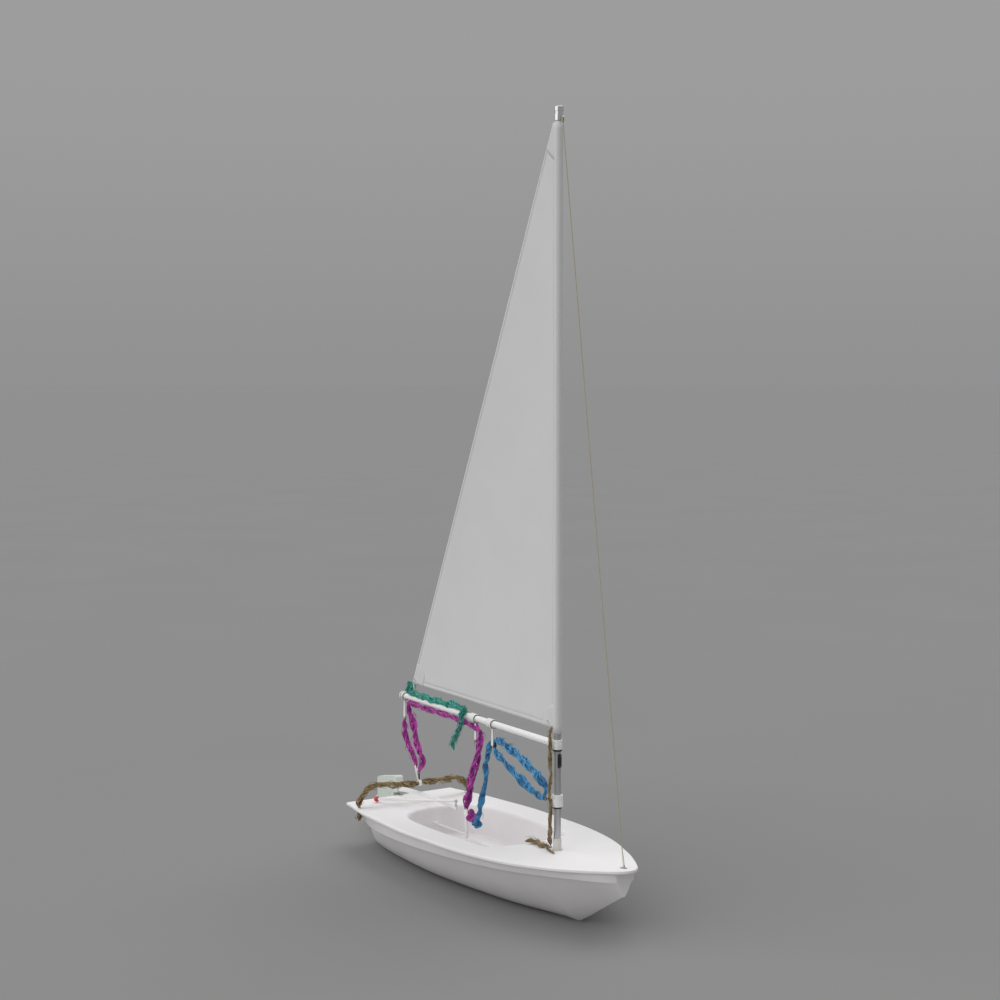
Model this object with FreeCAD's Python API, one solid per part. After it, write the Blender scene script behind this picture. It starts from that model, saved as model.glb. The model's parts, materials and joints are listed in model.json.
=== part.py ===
"""Single-handed sailing dinghy: moulded hull, mast, boom, sail, pivoting centreboard and lifting rudder.

+X points to the bow, +Y to port and +Z up. The origin is on the flat of the
keel, straight below the mast. The deck plane rises a little towards the bow.
Lengths are in millimetres and angles in degrees.
"""

import FreeCAD, Part
import math
import os
from FreeCAD import Placement, Rotation, Vector

# Hull and deck
length_overall = 3785.0
half_beam = 712.5
moulded_depth = 485.0
stern_to_mast = 2736.0
deck_at_mast = 507.0
sheer_slope = 2.06
bow_sheer_start_share = 0.7387
bow_sheer_radius_share = 2.642
deck_thickness = 30.0
deck_edge_round = 9.0
band_bottom_at_mast = 418.0
band_slope = 3.55
keel_trim = 60.0
drain_aside = 150.0
drain_height = 70.0
drain_diameter = 40.0
drain_thickness = 6.0
drain_knob_diameter = 24.0
drain_knob_length = 12.0

# Cockpit
cockpit_length = 1703.0
cockpit_half_width = 444.0
cockpit_fore = 370.0
cockpit_depth = 285.0
cockpit_rim_round = 24.0
cockpit_floor_round = 40.0
cockpit_draft = 34.0
case_wall = 18.0
case_top_height = 120.0
case_edge_round = 8.0

# Mast, stay and the fittings on them
mast_diameter = 58.0
mast_wall = 3.0
mast_foot_height = 60.0
mast_head_gap = 50.0
mast_hole_clearance = 1.0
turning_clearance = 0.5
cap_diameter = 78.0
cap_height = 115.0
cap_socket = 44.0
cap_groove_low = 52.0
cap_groove_height = 24.0
cap_groove_depth = 5.0
cap_round = 8.0
collar_diameter = 70.0
collar_height = 100.0
collar_flange = 13.0
collar_flange_height = 5.0
stay_diameter = 7.0
stay_foot_inset = 115.0
fork_reach = 27.0
fork_cheek = 4.0
barrel_length = 62.0
barrel_diameter = 17.0
screw_diameter = 8.0
lug_thickness = 7.0
lug_radius = 14.0
eye_diameter = 14.0
seat_gap = 0.3
plate_length = 74.0
plate_width = 30.0
plate_thickness = 5.0
stop_height = 14.0
stop_diameter = 74.0
cleat_drop = 135.0
cleat_length = 110.0
cleat_horn = 14.0
cleat_tip = 8.0
deck_eye_aft = 100.0
deck_eye_radius = 13.0
deck_eye_bar = 7.0

# Gooseneck, boom and the fittings on it
boom_height = 1396.0
boom_fore = 66.0
boom_length = 2578.0
boom_fore_diameter = 58.0
boom_aft_diameter = 48.0
boom_wall = 2.5
end_cap_diameter = 84.0
gooseneck_diameter = 84.0
gooseneck_height = 80.0
rim_round = 5.0
tongue_thickness = 14.0
tongue_length = 26.0
hook_reach = 13.0
pin_diameter = 10.0
pin_fit = 0.1
vang_collar_height = 925.0
vang_collar_diameter = 95.0
vang_collar_length = 100.0
vang_lug_reach = 100.0
vang_lug_root = 28.0
band_widths = {"aft": 30.0, "mid": 90.0, "vang": 90.0}
band_wall = 11.0
band_round = 7.0
band_lug_width = 26.0
band_lug_drop = 15.0
band_stations = {"aft": 2614.0, "mid": 1303.0, "vang": 1015.0}
block_drops = {"aft": 190.0, "mid": 175.0, "vang": 180.0}
block_diameter = 38.0
hanger_width = 22.0
cheek_thickness = 3.0
cheek_lip = 3.0
sheave_width = 12.0
sheave_groove = 4.0
sheave_fit = 1.0
link_width = 16.0

# Sail
tack_rise = 125.0
sail_foot_rise = 18.0
sail_head_height = 6490.0
sail_foot_length = 2467.0
sail_head_width = 85.0
sail_cloth = 5.0
sleeve_gap = 5.0
sleeve_cloth = 2.5
sleeve_overlap = 31.0
hem_width = 30.0

# Mainsheet post, toe strap and traveller bushes
post_station = 1470.0
post_diameter = 32.0
post_foot_diameter = 70.0
post_foot_height = 6.0
sheet_block_height = 55.0
sheet_block_diameter = 68.0
strap_width = 40.0
strap_thickness = 3.0
strap_depth = 150.0
anchor_length = 26.0
fairlead_station = 2430.0
fairlead_inset = 32.0
fairlead_bore = 12.0
fairlead_wall = 3.0
fairlead_flange = 6.0

# Centreboard
board_thickness = 22.0
board_clearance = 6.0
board_length = 930.0
board_chord = 225.0
board_pivot_aft = 335.0
board_pivot_height = 120.0

# Rudder, tiller and extension
rudder_pin_gap = 30.0
gudgeon_width = 44.0
gudgeon_thickness = 6.0
gudgeon_seat = 46.0
gudgeon_reach = 60.0
gudgeon_eye_radius = 14.0
low_gudgeon_drop = 126.0
pin_reach = 28.0
stock_gap = 20.0
stock_length = 330.0
stock_thickness = 75.0
head_reach = 62.0
head_low = 26.0
head_fore_top = 190.0
head_aft_top = 126.0
stock_drop = 150.0
stock_bevel = 60.0
stock_round = 26.0
blade_thickness = 24.0
blade_clearance = 6.0
blade_length = 460.0
blade_chord = 200.0
blade_rest_angle = 31.0
blade_pivot_aft = 224.4
tiller_height = 60.0
tiller_length = 1088.0
tiller_arch = 20.0
tiller_aft_depth = 40.0
tiller_fore_depth = 28.0
tiller_aft_width = 34.0
tiller_fore_width = 26.0
tiller_round = 5.0
swivel_aft = 20.0
swivel_seat = 1.2
swivel_base = 10.0
swivel_neck_diameter = 16.0
swivel_barrel_diameter = 25.0
swivel_barrel_length = 24.0
swivel_lift = 26.0
extension_length = 960.0
extension_diameter = 24.0
extension_ball = 54.0
extension_rest_angle = 21.0
extension_clearance = 6.0

# How far a cutting shape runs past what it cuts
overrun = 5.0

# Hull lines: share of the length from the stern, then shares of the half beam
# for the band's top and bottom edges, the hull's top edge and the keel flat,
# the keel's height as a share of the depth, and the power of the side's curve
hull_line_shares = [
    (0.011, 0.645, 0.544, 0.494, 0.372, 0.000, 1.60),
    (0.075, 0.781, 0.716, 0.659, 0.408, 0.000, 2.10),
    (0.182, 0.895, 0.860, 0.802, 0.408, 0.000, 2.20),
    (0.289, 0.953, 0.924, 0.874, 0.401, 0.000, 2.20),
    (0.396, 0.967, 0.938, 0.888, 0.372, 0.000, 2.15),
    (0.529, 0.946, 0.910, 0.860, 0.287, 0.000, 2.00),
    (0.663, 0.852, 0.817, 0.774, 0.172, 0.000, 1.80),
    (0.770, 0.709, 0.673, 0.638, 0.043, 0.000, 1.50),
    (0.812, 0.616, 0.580, 0.552, 0.014, 0.000, 1.35),
    (0.836, 0.559, 0.526, 0.501, 0.014, 0.105, 1.27),
    (0.875, 0.451, 0.423, 0.408, 0.014, 0.286, 1.18),
    (0.926, 0.308, 0.287, 0.279, 0.014, 0.526, 1.08),
    (0.974, 0.122, 0.107, 0.100, 0.011, 0.741, 1.00),
]
forefoot_share = 0.812
side_step_shares = [0.0, 0.25, 0.5, 0.75, 1.0]

# Gunwale outline: share of the length from the stern, share of the half beam
gunwale_shares = [
    (0.000, 0.802), (0.045, 0.838), (0.115, 0.908), (0.166, 0.936), (0.260, 0.974),
    (0.342, 1.000), (0.449, 0.987), (0.556, 0.963), (0.663, 0.885), (0.716, 0.821),
    (0.770, 0.728), (0.822, 0.613), (0.866, 0.509), (0.899, 0.415), (0.929, 0.327),
    (0.959, 0.229), (0.984, 0.138), (0.996, 0.070),
]

# Cockpit rim: share of its length from the fore end, share of its half width
cockpit_shares = [
    (0.000, 0.00), (0.002, 0.27), (0.010, 0.50), (0.024, 0.72), (0.048, 0.865), (0.090, 0.930),
    (0.150, 0.945), (0.230, 0.955), (0.370, 0.980), (0.540, 1.00), (0.680, 0.985), (0.854, 0.89),
    (0.950, 0.62), (0.991, 0.29), (1.000, 0.00),
]

# Foil section: share of the chord from the nose, share of the half thickness
foil_shares = [(0.00, 0.00), (0.02, 0.42), (0.12, 0.82), (0.35, 1.00), (0.70, 0.66), (1.00, 0.10)]

# Board and blade outline: share of the length from the pivot, shares of the
# chord cut away at the nose and at the tail, share of the thickness
board_outline_shares = [
    (0.00, 0.00, 0.00, 1.00),
    (0.60, 0.00, 0.04, 0.96),
    (0.90, 0.03, 0.10, 0.80),
    (0.97, 0.12, 0.18, 0.60),
    (1.00, 0.28, 0.30, 0.35),
]

up = Vector(0, 0, 1)
port = Vector(0, 1, 0)
forward = Vector(1, 0, 0)
mast_radius = mast_diameter / 2
mast_top = sail_head_height + mast_head_gap
sail_tack_height = boom_height + tack_rise
sleeve_bottom = sail_tack_height - sleeve_overlap
cleat_height = boom_height - cleat_drop
deck_frame = Placement(Vector(0, 0, deck_at_mast), Rotation(port, -sheer_slope))


def save(name, shape):
    """Write one node's solid."""
    shape.exportStep("parts/" + name + ".step")
    print(name, round(shape.Volume), len(shape.Solids), shape.isValid())


def on_deck(shape):
    """Put a shape drawn on the level deck plane onto the sloping deck."""
    return shape.transformed(deck_frame.toMatrix(), True)


def from_stern(share):
    """X of a point at this share of the overall length from the stern."""
    return share * length_overall - stern_to_mast


def deck_height(x):
    """Height of the deck plane above the keel at x."""
    return deck_at_mast + x * math.tan(math.radians(sheer_slope))


def bow_sheer_radius():
    """Radius of the foredeck's upward curve, seen from the side."""
    return bow_sheer_radius_share * length_overall


def sheer_rise(along):
    """Rise of the foredeck over the deck plane at this distance ahead of the mast."""
    reach = max(along - from_stern(bow_sheer_start_share), 0)
    return bow_sheer_radius() - math.sqrt(bow_sheer_radius() ** 2 - reach ** 2)


def sheer_slab(low, high):
    """Slab across the boat between two heights off the deck's top, flat aft and curved up at the bow."""
    turn = math.asin(1 / bow_sheer_radius_share)
    lines = []
    for height in (low, high):
        radius = bow_sheer_radius() - height
        points = []
        for angle in (0, turn / 2, turn):
            x = from_stern(bow_sheer_start_share) + radius * math.sin(angle)
            points.append(Vector(x, 0, bow_sheer_radius() - radius * math.cos(angle)))
        lines.append(points)
    under, over = lines
    aft_low = Vector(-length_overall, 0, low)
    aft_high = Vector(-length_overall, 0, high)
    edges = [
        Part.LineSegment(aft_low, under[0]),
        Part.Arc(under[0], under[1], under[2]),
        Part.LineSegment(under[2], over[2]),
        Part.Arc(over[2], over[1], over[0]),
        Part.LineSegment(over[0], aft_high),
        Part.LineSegment(aft_high, aft_low),
    ]
    face = Part.Face(Part.Wire([edge.toShape() for edge in edges]))
    face.translate(port * -(half_beam + overrun))
    return face.extrude(port * (2 * half_beam + 2 * overrun))


def rod(start, end, radius):
    """Round rod between two points."""
    along = end - start
    return Part.makeCylinder(radius, along.Length, start, along)


def upright(radius, x, low, high):
    """Upright round pillar on the centreline between two heights."""
    return Part.makeCylinder(radius, high - low, Vector(x, 0, low), up)


def across(radius, half, centre):
    """Round pin across the boat, centred on a point."""
    return Part.makeCylinder(radius, half * 2, centre - port * half, port)


def block(x_low, x_high, y_low, y_high, z_low, z_high):
    """Box between six planes."""
    corner = Vector(x_low, y_low, z_low)
    return Part.makeBox(x_high - x_low, y_high - y_low, z_high - z_low, corner)


def centred_block(x_low, x_high, half, z_low, z_high):
    """Box between four planes, as wide to port as to starboard."""
    return block(x_low, x_high, -half, half, z_low, z_high)


def ring(outer, inner, height, base, axis):
    """Plain ring on an axis."""
    whole = Part.makeCylinder(outer, height, base, axis)
    return whole.cut(Part.makeCylinder(inner, height + 2 * overrun, base - axis * overrun, axis))


def prism(points, half):
    """Closed polygon in the XZ plane, extruded to both sides of the centreline."""
    face = Part.Face(Part.makePolygon(points + [points[0]]))
    face.translate(port * -half)
    return face.extrude(port * (2 * half))


def rounded_rims(shape, radius):
    """Shape with its level circular edges rounded."""
    edges = [e for e in shape.Edges if len(e.Vertexes) == 1 and e.BoundBox.ZLength < seat_gap]
    return shape.makeFillet(radius, edges)


def pear_plate(large, small, large_radius, small_radius, low_y, thickness):
    """Plate in the XZ plane with a round end at each of two points, joined by tangents."""
    along = small - large
    turn = math.asin((large_radius - small_radius) / along.Length)
    heading = math.atan2(along.z, along.x)
    corners = {}
    for centre, radius in ((large, large_radius), (small, small_radius)):
        for side in (1, -1):
            angle = heading + side * (math.pi / 2 - turn)
            corners[(radius, side)] = centre + Vector(math.cos(angle), 0, math.sin(angle)) * radius
    ahead = Vector(math.cos(heading), 0, math.sin(heading))
    back = large - ahead * large_radius
    front = small + ahead * small_radius
    large_arc = Part.Arc(corners[(large_radius, 1)], back, corners[(large_radius, -1)])
    small_arc = Part.Arc(corners[(small_radius, -1)], front, corners[(small_radius, 1)])
    near = Part.LineSegment(corners[(large_radius, -1)], corners[(small_radius, -1)])
    far = Part.LineSegment(corners[(small_radius, 1)], corners[(large_radius, 1)])
    wire = Part.Wire([large_arc.toShape(), near.toShape(), small_arc.toShape(), far.toShape()])
    face = Part.Face(wire)
    face.translate(port * low_y)
    return face.extrude(port * thickness)


def sheave(radius, centre):
    """Grooved pulley wheel on an axis across the boat."""
    half = sheave_width / 2 - sheave_fit
    outline = [
        centre - port * half,
        centre - port * half + up * radius,
        centre + up * (radius - sheave_groove),
        centre + port * half + up * radius,
        centre + port * half,
    ]
    face = Part.Face(Part.makePolygon(outline + [outline[0]]))
    return face.revolve(centre, port, 360)


def hull_section(row, trim):
    """Closed hull section at one station, with its keel flat lowered by the trim."""
    station, band_top, band_low, top, flat, keel, power = row
    x = from_stern(station)
    low = keel * moulded_depth
    high = band_bottom_at_mast + x * math.tan(math.radians(band_slope))
    over_deck = deck_height(x) + sheer_rise(x)
    under_deck = over_deck - deck_thickness
    band_over = band_low + (band_top - band_low) * (over_deck - high) / (under_deck - high)
    side = []
    for step in side_step_shares:
        y = (flat + (top - flat) * step) * half_beam
        side.append(Vector(x, y, low + (high - low) * step ** power))
    mirrored = [Vector(p.x, -p.y, p.z) for p in reversed(side)]
    port_curve = Part.BSplineCurve()
    port_curve.interpolate(side)
    starboard_curve = Part.BSplineCurve()
    starboard_curve.interpolate(mirrored)
    over = [
        side[-1],
        Vector(x, band_low * half_beam, high),
        Vector(x, band_over * half_beam, over_deck),
        Vector(x, -band_over * half_beam, over_deck),
        Vector(x, -band_low * half_beam, high),
        mirrored[0],
    ]
    under = [mirrored[-1], side[0]]
    if trim > 0:
        under = [mirrored[-1], mirrored[-1] - up * trim, side[0] - up * trim, side[0]]
    edges = [port_curve.toShape()]
    edges += [Part.LineSegment(a, b).toShape() for a, b in zip(over[:-1], over[1:])]
    edges.append(starboard_curve.toShape())
    edges += [Part.LineSegment(a, b).toShape() for a, b in zip(under[:-1], under[1:])]
    return Part.Wire(edges)


def cockpit_wire(grow, height):
    """Cockpit outline on the level deck plane, grown outwards and raised."""
    points = []
    for along, aside in cockpit_shares:
        x = -cockpit_fore + grow - along * (cockpit_length + 2 * grow)
        points.append(Vector(x, aside * (cockpit_half_width + grow), height))
    for point in reversed(points[1:-1]):
        points.append(Vector(point.x, -point.y, point.z))
    curve = Part.BSplineCurve()
    curve.interpolate(points, True)
    return Part.Wire(curve.toShape())


def cockpit_space():
    """The open space of the cockpit, with a rolled rim and a rounded floor edge."""
    wires = [cockpit_wire(cockpit_rim_round, overrun)]
    for angle in (0, 30, 60, 90):
        turn = math.radians(angle)
        grow = cockpit_rim_round * (1 - math.sin(turn))
        wires.append(cockpit_wire(grow, -cockpit_rim_round * (1 - math.cos(turn))))
    for angle in (0, 30, 60, 90):
        turn = math.radians(angle)
        grow = -cockpit_draft - cockpit_floor_round * (1 - math.cos(turn))
        height = -cockpit_depth + cockpit_floor_round * (1 - math.sin(turn))
        wires.append(cockpit_wire(grow, height))
    return on_deck(Part.makeLoft(wires, True, True))


def board_slot():
    """Slot in the keel and the case that the centreboard swings through."""
    half = board_thickness / 2 + board_clearance
    aft = -(board_pivot_aft + board_length + 4 * board_clearance)
    fore = -board_pivot_aft + board_chord / 2 + 2 * board_clearance
    top = board_pivot_height + board_chord / 2 + 2 * board_clearance
    return centred_block(aft, fore, half, -overrun, top)


def mast_well():
    """Round well for the mast through the deck into the hull."""
    radius = mast_radius + mast_hole_clearance
    return upright(radius, 0, mast_foot_height, mast_foot_height + moulded_depth)


def make_hull():
    """Hull moulding with its side band, cockpit, mast well and board slot."""
    aft_rows = [row for row in hull_line_shares if row[0] <= forefoot_share]
    bow_rows = [row for row in hull_line_shares if row[0] >= forefoot_share]
    aft_part = Part.makeLoft([hull_section(row, keel_trim) for row in aft_rows], True, False)
    bow_part = Part.makeLoft([hull_section(row, 0) for row in bow_rows], True, False)
    below = centred_block(-length_overall, length_overall, half_beam, -2 * keel_trim, 0)
    body = aft_part.cut(below).fuse(bow_part)
    body = body.cut(below)
    body = body.cut(on_deck(sheer_slab(-deck_thickness, moulded_depth)))
    body = body.cut(cockpit_space())
    body = body.cut(board_slot())
    return body.cut(mast_well())


def make_drain():
    """Drain bung in the transom, with a knob to turn it by."""
    transom = from_stern(hull_line_shares[0][0])
    base = Vector(transom, drain_aside, drain_height)
    disc = Part.makeCylinder(drain_diameter / 2, drain_thickness, base, -forward)
    knob_base = base - forward * drain_thickness
    return disc.fuse(Part.makeCylinder(drain_knob_diameter / 2, drain_knob_length, knob_base, -forward))


def gunwale_wire(height):
    """Deck outline on the level deck plane, raised to a height."""
    side = []
    for along, aside in gunwale_shares:
        side.append(Vector(from_stern(along), aside * half_beam, height))
    other = [Vector(p.x, -p.y, height) for p in reversed(side)]
    port_curve = Part.BSplineCurve()
    port_curve.interpolate(side)
    starboard_curve = Part.BSplineCurve()
    starboard_curve.interpolate(other)
    tip = Part.Arc(side[-1], Vector(from_stern(1), 0, height), other[0])
    stern = Part.LineSegment(other[-1], side[0])
    return Part.Wire([port_curve.toShape(), tip.toShape(), starboard_curve.toShape(), stern.toShape()])


def gunwale_half_width(x):
    """Half width of the deck at x, between the gunwale's points."""
    along = (x + stern_to_mast) / length_overall
    for (low, low_aside), (high, high_aside) in zip(gunwale_shares[:-1], gunwale_shares[1:]):
        if low <= along <= high:
            return half_beam * (low_aside + (high_aside - low_aside) * (along - low) / (high - low))
    return 0


def make_deck():
    """Deck plate with a rounded edge that overhangs the hull all round."""
    outline = Part.Face(gunwale_wire(-moulded_depth))
    plate = outline.extrude(up * (2 * moulded_depth)).common(sheer_slab(-deck_thickness, 0))
    rims = []
    for edge in plate.Edges:
        box = edge.BoundBox
        crease = box.XMin > 0 and box.XLength < seat_gap
        if max(box.XLength, box.YLength) > deck_edge_round and not crease:
            rims.append(edge)
    plate = on_deck(plate.makeFillet(deck_edge_round, rims))
    plate = plate.cut(cockpit_space())
    for side in (-1, 1):
        plate = plate.cut(fairlead_hole(side))
    return plate.cut(mast_well())


def fairlead_base(side):
    """Foot of a traveller bush, in the deck's overhang at the quarter."""
    aside = gunwale_half_width(-fairlead_station) - fairlead_inset
    return Vector(-fairlead_station, side * aside, -deck_thickness)


def fairlead_hole(side):
    """Hole through the deck's overhang for the traveller line."""
    radius = fairlead_bore / 2 + fairlead_wall + seat_gap
    base = fairlead_base(side) - up * overrun
    return on_deck(Part.makeCylinder(radius, deck_thickness + 2 * overrun, base, up))


def make_fairlead(side):
    """Flanged bush in the deck's overhang."""
    bore = fairlead_bore / 2
    base = fairlead_base(side)
    bush = Part.makeCylinder(bore + fairlead_wall, deck_thickness, base, up)
    flange_radius = bore + fairlead_wall + fairlead_flange
    bush = bush.fuse(Part.makeCylinder(flange_radius, fairlead_wall, base + up * deck_thickness, up))
    length = deck_thickness + fairlead_wall + 2 * overrun
    return on_deck(bush.cut(Part.makeCylinder(bore, length, base - up * overrun, up)))


def make_case():
    """Centreboard case along the cockpit floor, open to the keel slot."""
    half = board_thickness / 2 + board_clearance + case_wall
    fore = -cockpit_fore + cockpit_rim_round
    aft = -post_station + post_foot_diameter / 2 + case_wall
    case = centred_block(aft, fore, half, -cockpit_depth - overrun, -cockpit_depth + case_top_height)
    top = [e for e in case.Edges if e.BoundBox.ZMin > -cockpit_depth]
    upright_edges = [e for e in case.Edges if e.BoundBox.ZLength > case_top_height]
    aft_corners = [e for e in upright_edges if e.BoundBox.XMax < aft + overrun]
    case = case.makeFillet(case_edge_round, top + aft_corners)
    return on_deck(case).common(cockpit_space()).cut(board_slot())


def foil_wire(x, nose, tail, thickness):
    """Foil section across the boat at x, from its nose height to its tail height."""
    side = []
    for along, aside in foil_shares:
        side.append(Vector(x, aside * thickness / 2, nose + along * (tail - nose)))
    other = [Vector(p.x, -p.y, p.z) for p in reversed(side[1:])]
    curve = Part.BSplineCurve()
    curve.interpolate(other + side)
    return Part.Wire([curve.toShape(), Part.LineSegment(side[-1], other[0]).toShape()])


def foil_board(pivot, length, chord, thickness):
    """Foil with a round flat-sided head about its pin, lying aft of it with its nose down."""
    wires = []
    for along, nose_cut, tail_cut, thick in board_outline_shares:
        x = pivot.x - along * length
        nose = pivot.z - chord / 2 + nose_cut * chord
        tail = pivot.z + chord / 2 - tail_cut * chord
        wires.append(foil_wire(x, nose, tail, thick * thickness))
    foil = Part.makeLoft(wires, True, True)
    head = across(chord / 2, thickness / 2, pivot)
    whole = head.fuse(foil)
    return whole.cut(across(pin_diameter / 2 + pin_fit, thickness, pivot))


def make_centreboard():
    """Centreboard lying back in its case."""
    pivot = Vector(-board_pivot_aft, 0, board_pivot_height)
    return foil_board(pivot, board_length, board_chord, board_thickness)


def make_board_pin():
    """Pin across the slot that the centreboard turns on."""
    half = board_thickness / 2 + board_clearance
    return across(pin_diameter / 2, half, Vector(-board_pivot_aft, 0, board_pivot_height))


def make_mast():
    """Mast tube from its foot in the well to under the cap."""
    tube = upright(mast_radius, 0, mast_foot_height, mast_top)
    return tube.cut(upright(mast_radius - mast_wall, 0, mast_foot_height + mast_wall, mast_top + overrun))


def cap_eye():
    """Centre of the stay's eye on the masthead cap."""
    return Vector(cap_diameter / 2 + lug_radius, 0, mast_top - cap_socket + lug_radius + overrun)


def make_cap():
    """Masthead cap with a groove, a socket for the mast and a lug for the stay."""
    base = mast_top - cap_socket
    cap = upright(cap_diameter / 2, 0, base, base + cap_height)
    groove = ring(cap_diameter, cap_diameter / 2 - cap_groove_depth, cap_groove_height,
                  Vector(0, 0, base + cap_groove_low), up)
    cap = cap.cut(groove)
    crown = [e for e in cap.Edges if e.BoundBox.ZMin > base + cap_height - seat_gap]
    cap = cap.makeFillet(cap_round, crown)
    eye = cap_eye()
    half = lug_thickness / 2
    root = Vector(mast_radius, 0, eye.z)
    cap = cap.fuse(pear_plate(root, eye, lug_radius + overrun, lug_radius, -half, lug_thickness))
    cap = cap.cut(across(eye_diameter / 2, lug_thickness, eye))
    return cap.cut(upright(mast_radius + seat_gap, 0, base - overrun, mast_top))


def make_collar():
    """Collar round the mast where it enters the deck."""
    inner = mast_radius + mast_hole_clearance
    tube = upright(collar_diameter / 2, 0, deck_at_mast - collar_flange, deck_at_mast + collar_height)
    tube = rounded_rims(tube, collar_flange_height / 2)
    flange = on_deck(upright(collar_diameter / 2 + collar_flange, 0, 0, collar_flange_height))
    below = on_deck(centred_block(-half_beam, half_beam, half_beam, -moulded_depth, 0))
    well = upright(inner, 0, deck_at_mast - moulded_depth, deck_at_mast + moulded_depth)
    return tube.fuse(flange).cut(below).cut(well)


def foredeck_frame():
    """Placement of the stay plate on the curved foredeck."""
    along = from_stern(1) - stay_foot_inset
    turn = math.degrees(math.asin((along - from_stern(bow_sheer_start_share)) / bow_sheer_radius()))
    seat = Vector(along, 0, sheer_rise(along) + seat_gap / 2)
    return deck_frame.multiply(Placement(seat, Rotation(port, -turn)))


def plate_eye():
    """Centre of the stay plate's eye on the foredeck."""
    return foredeck_frame().multVec(Vector(0, 0, plate_thickness + lug_radius))


def make_fork(heading, length):
    """Fork with its pin at the origin, its cheeks along Z and a boss at their end."""
    half = lug_thickness / 2 + seat_gap
    origin = Vector(0, 0, 0)
    end = up * length
    boss = half + fork_cheek
    fork = Part.makeCylinder(boss, fork_cheek * 2, end - up * fork_cheek, up)
    for low_y in (half, -half - fork_cheek):
        fork = fork.fuse(pear_plate(origin, end, lug_radius - fork_cheek, boss, low_y, fork_cheek))
    fork = fork.fuse(across(eye_diameter / 2 - seat_gap, boss, origin))
    return fork.transformed(Placement(origin, Rotation(up, heading)).toMatrix(), True)


def stay_heading():
    """Direction of the stay from its foot to its head."""
    return (cap_eye() - plate_eye()).normalize()


def make_stay():
    """Forestay wire with the fork at its head."""
    heading = stay_heading()
    low = plate_eye() + heading * (fork_reach + barrel_length + seat_gap)
    high = cap_eye() - heading * fork_reach
    fork = make_fork(-heading, fork_reach)
    fork.translate(cap_eye())
    return rod(low, high, stay_diameter / 2).fuse(fork)


def make_turnbuckle():
    """Turnbuckle with an open barrel, its two screws and its fork."""
    base = up * fork_reach
    barrel = Part.makeCylinder(barrel_diameter / 2, barrel_length, base, up)
    wall = barrel_length / 6
    low = fork_reach + wall
    high = fork_reach + barrel_length - wall
    window = block(-barrel_diameter, barrel_diameter, -screw_diameter / 2, screw_diameter / 2, low, high)
    barrel = barrel.cut(window)
    gap = (high - low) / 6
    middle = (high + low) / 2
    lower = Part.makeCylinder(screw_diameter / 2, middle - gap - fork_reach, base, up)
    upper = Part.makeCylinder(screw_diameter / 2, high - middle, up * (middle + gap), up)
    barrel = barrel.fuse([lower, upper])
    heading = stay_heading()
    turned = barrel.transformed(Placement(Vector(0, 0, 0), Rotation(up, heading)).toMatrix(), True)
    whole = turned.fuse(make_fork(heading, fork_reach))
    whole.translate(plate_eye())
    return whole


def make_bow_plate():
    """Stay plate on the foredeck with an upright eye."""
    half = lug_thickness / 2
    base = centred_block(-plate_length / 2, plate_length / 2, plate_width / 2, 0, plate_thickness)
    corners = [e for e in base.Edges if e.BoundBox.ZLength > plate_thickness / 2]
    base = base.makeFillet(plate_width / 3, corners)
    root = Vector(0, 0, 0)
    eye = Vector(0, 0, plate_thickness + lug_radius)
    lug = pear_plate(root, eye, lug_radius + overrun, lug_radius, -half, lug_thickness)
    below = centred_block(-plate_length, plate_length, plate_width, -plate_length, 0)
    lug = lug.cut(below).cut(across(eye_diameter / 2, lug_thickness, eye))
    return base.fuse(lug).transformed(foredeck_frame().toMatrix(), True)


def make_deck_eye():
    """Small eye on the deck behind the mast for the downhaul line."""
    x = -deck_eye_aft
    base = centred_block(x - plate_width / 2, x + plate_width / 2, plate_width / 2, 0, plate_thickness)
    corners = [e for e in base.Edges if e.BoundBox.ZLength > plate_thickness / 2]
    base = base.makeFillet(plate_width / 3, corners)
    arch = Part.makeTorus(deck_eye_radius, deck_eye_bar / 2, Vector(x, 0, plate_thickness), port)
    below = centred_block(x - plate_width, x + plate_width, plate_width, -plate_width, 0)
    return on_deck(base.fuse(arch.cut(below)))


def make_stop(top):
    """Ring fixed to the mast under a collar that turns on it."""
    inner = mast_radius + seat_gap / 2
    return ring(stop_diameter / 2, inner, stop_height, Vector(0, 0, top - stop_height), up)


def make_mast_cleat():
    """Upright horn cleat on the fore side of the mast."""
    half = cleat_horn / 2
    quarter = cleat_length / 4
    outer = mast_radius + cleat_horn
    seat = centred_block(mast_radius / 2, outer, half, cleat_height - quarter, cleat_height + quarter)
    middle = Vector(outer, 0, cleat_height)
    reach = cleat_length / 2
    for way in (up, -up):
        seat = seat.fuse(Part.makeCone(half, cleat_tip / 2, reach, middle, way))
    inner = mast_radius + seat_gap / 2
    return seat.cut(upright(inner, 0, cleat_height - cleat_length, cleat_height + cleat_length))


def gooseneck_point():
    """Centre of the pin that joins the boom's fork to the collar's tongue."""
    return Vector(-(boom_fore + tongue_length / 2), 0, boom_height)


def make_gooseneck_collar():
    """Collar that turns on the mast, with a tongue for the boom's fork and a hook ahead."""
    low = boom_height - gooseneck_height / 2
    high = boom_height + gooseneck_height / 2
    half = tongue_thickness / 2
    body = rounded_rims(upright(gooseneck_diameter / 2, 0, low, high), rim_round)
    pin = gooseneck_point()
    root = Vector(-mast_radius, 0, boom_height)
    body = body.fuse(pear_plate(root, pin, tongue_length, tongue_length / 2, -half, tongue_thickness))
    hook = gooseneck_diameter / 2 + hook_reach
    body = body.fuse(centred_block(0, hook, half, boom_height, boom_height + tongue_thickness))
    body = body.cut(across(pin_diameter / 2 + seat_gap / 2, tongue_thickness, pin))
    return body.cut(upright(mast_radius + turning_clearance, 0, low - overrun, high + overrun))


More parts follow.
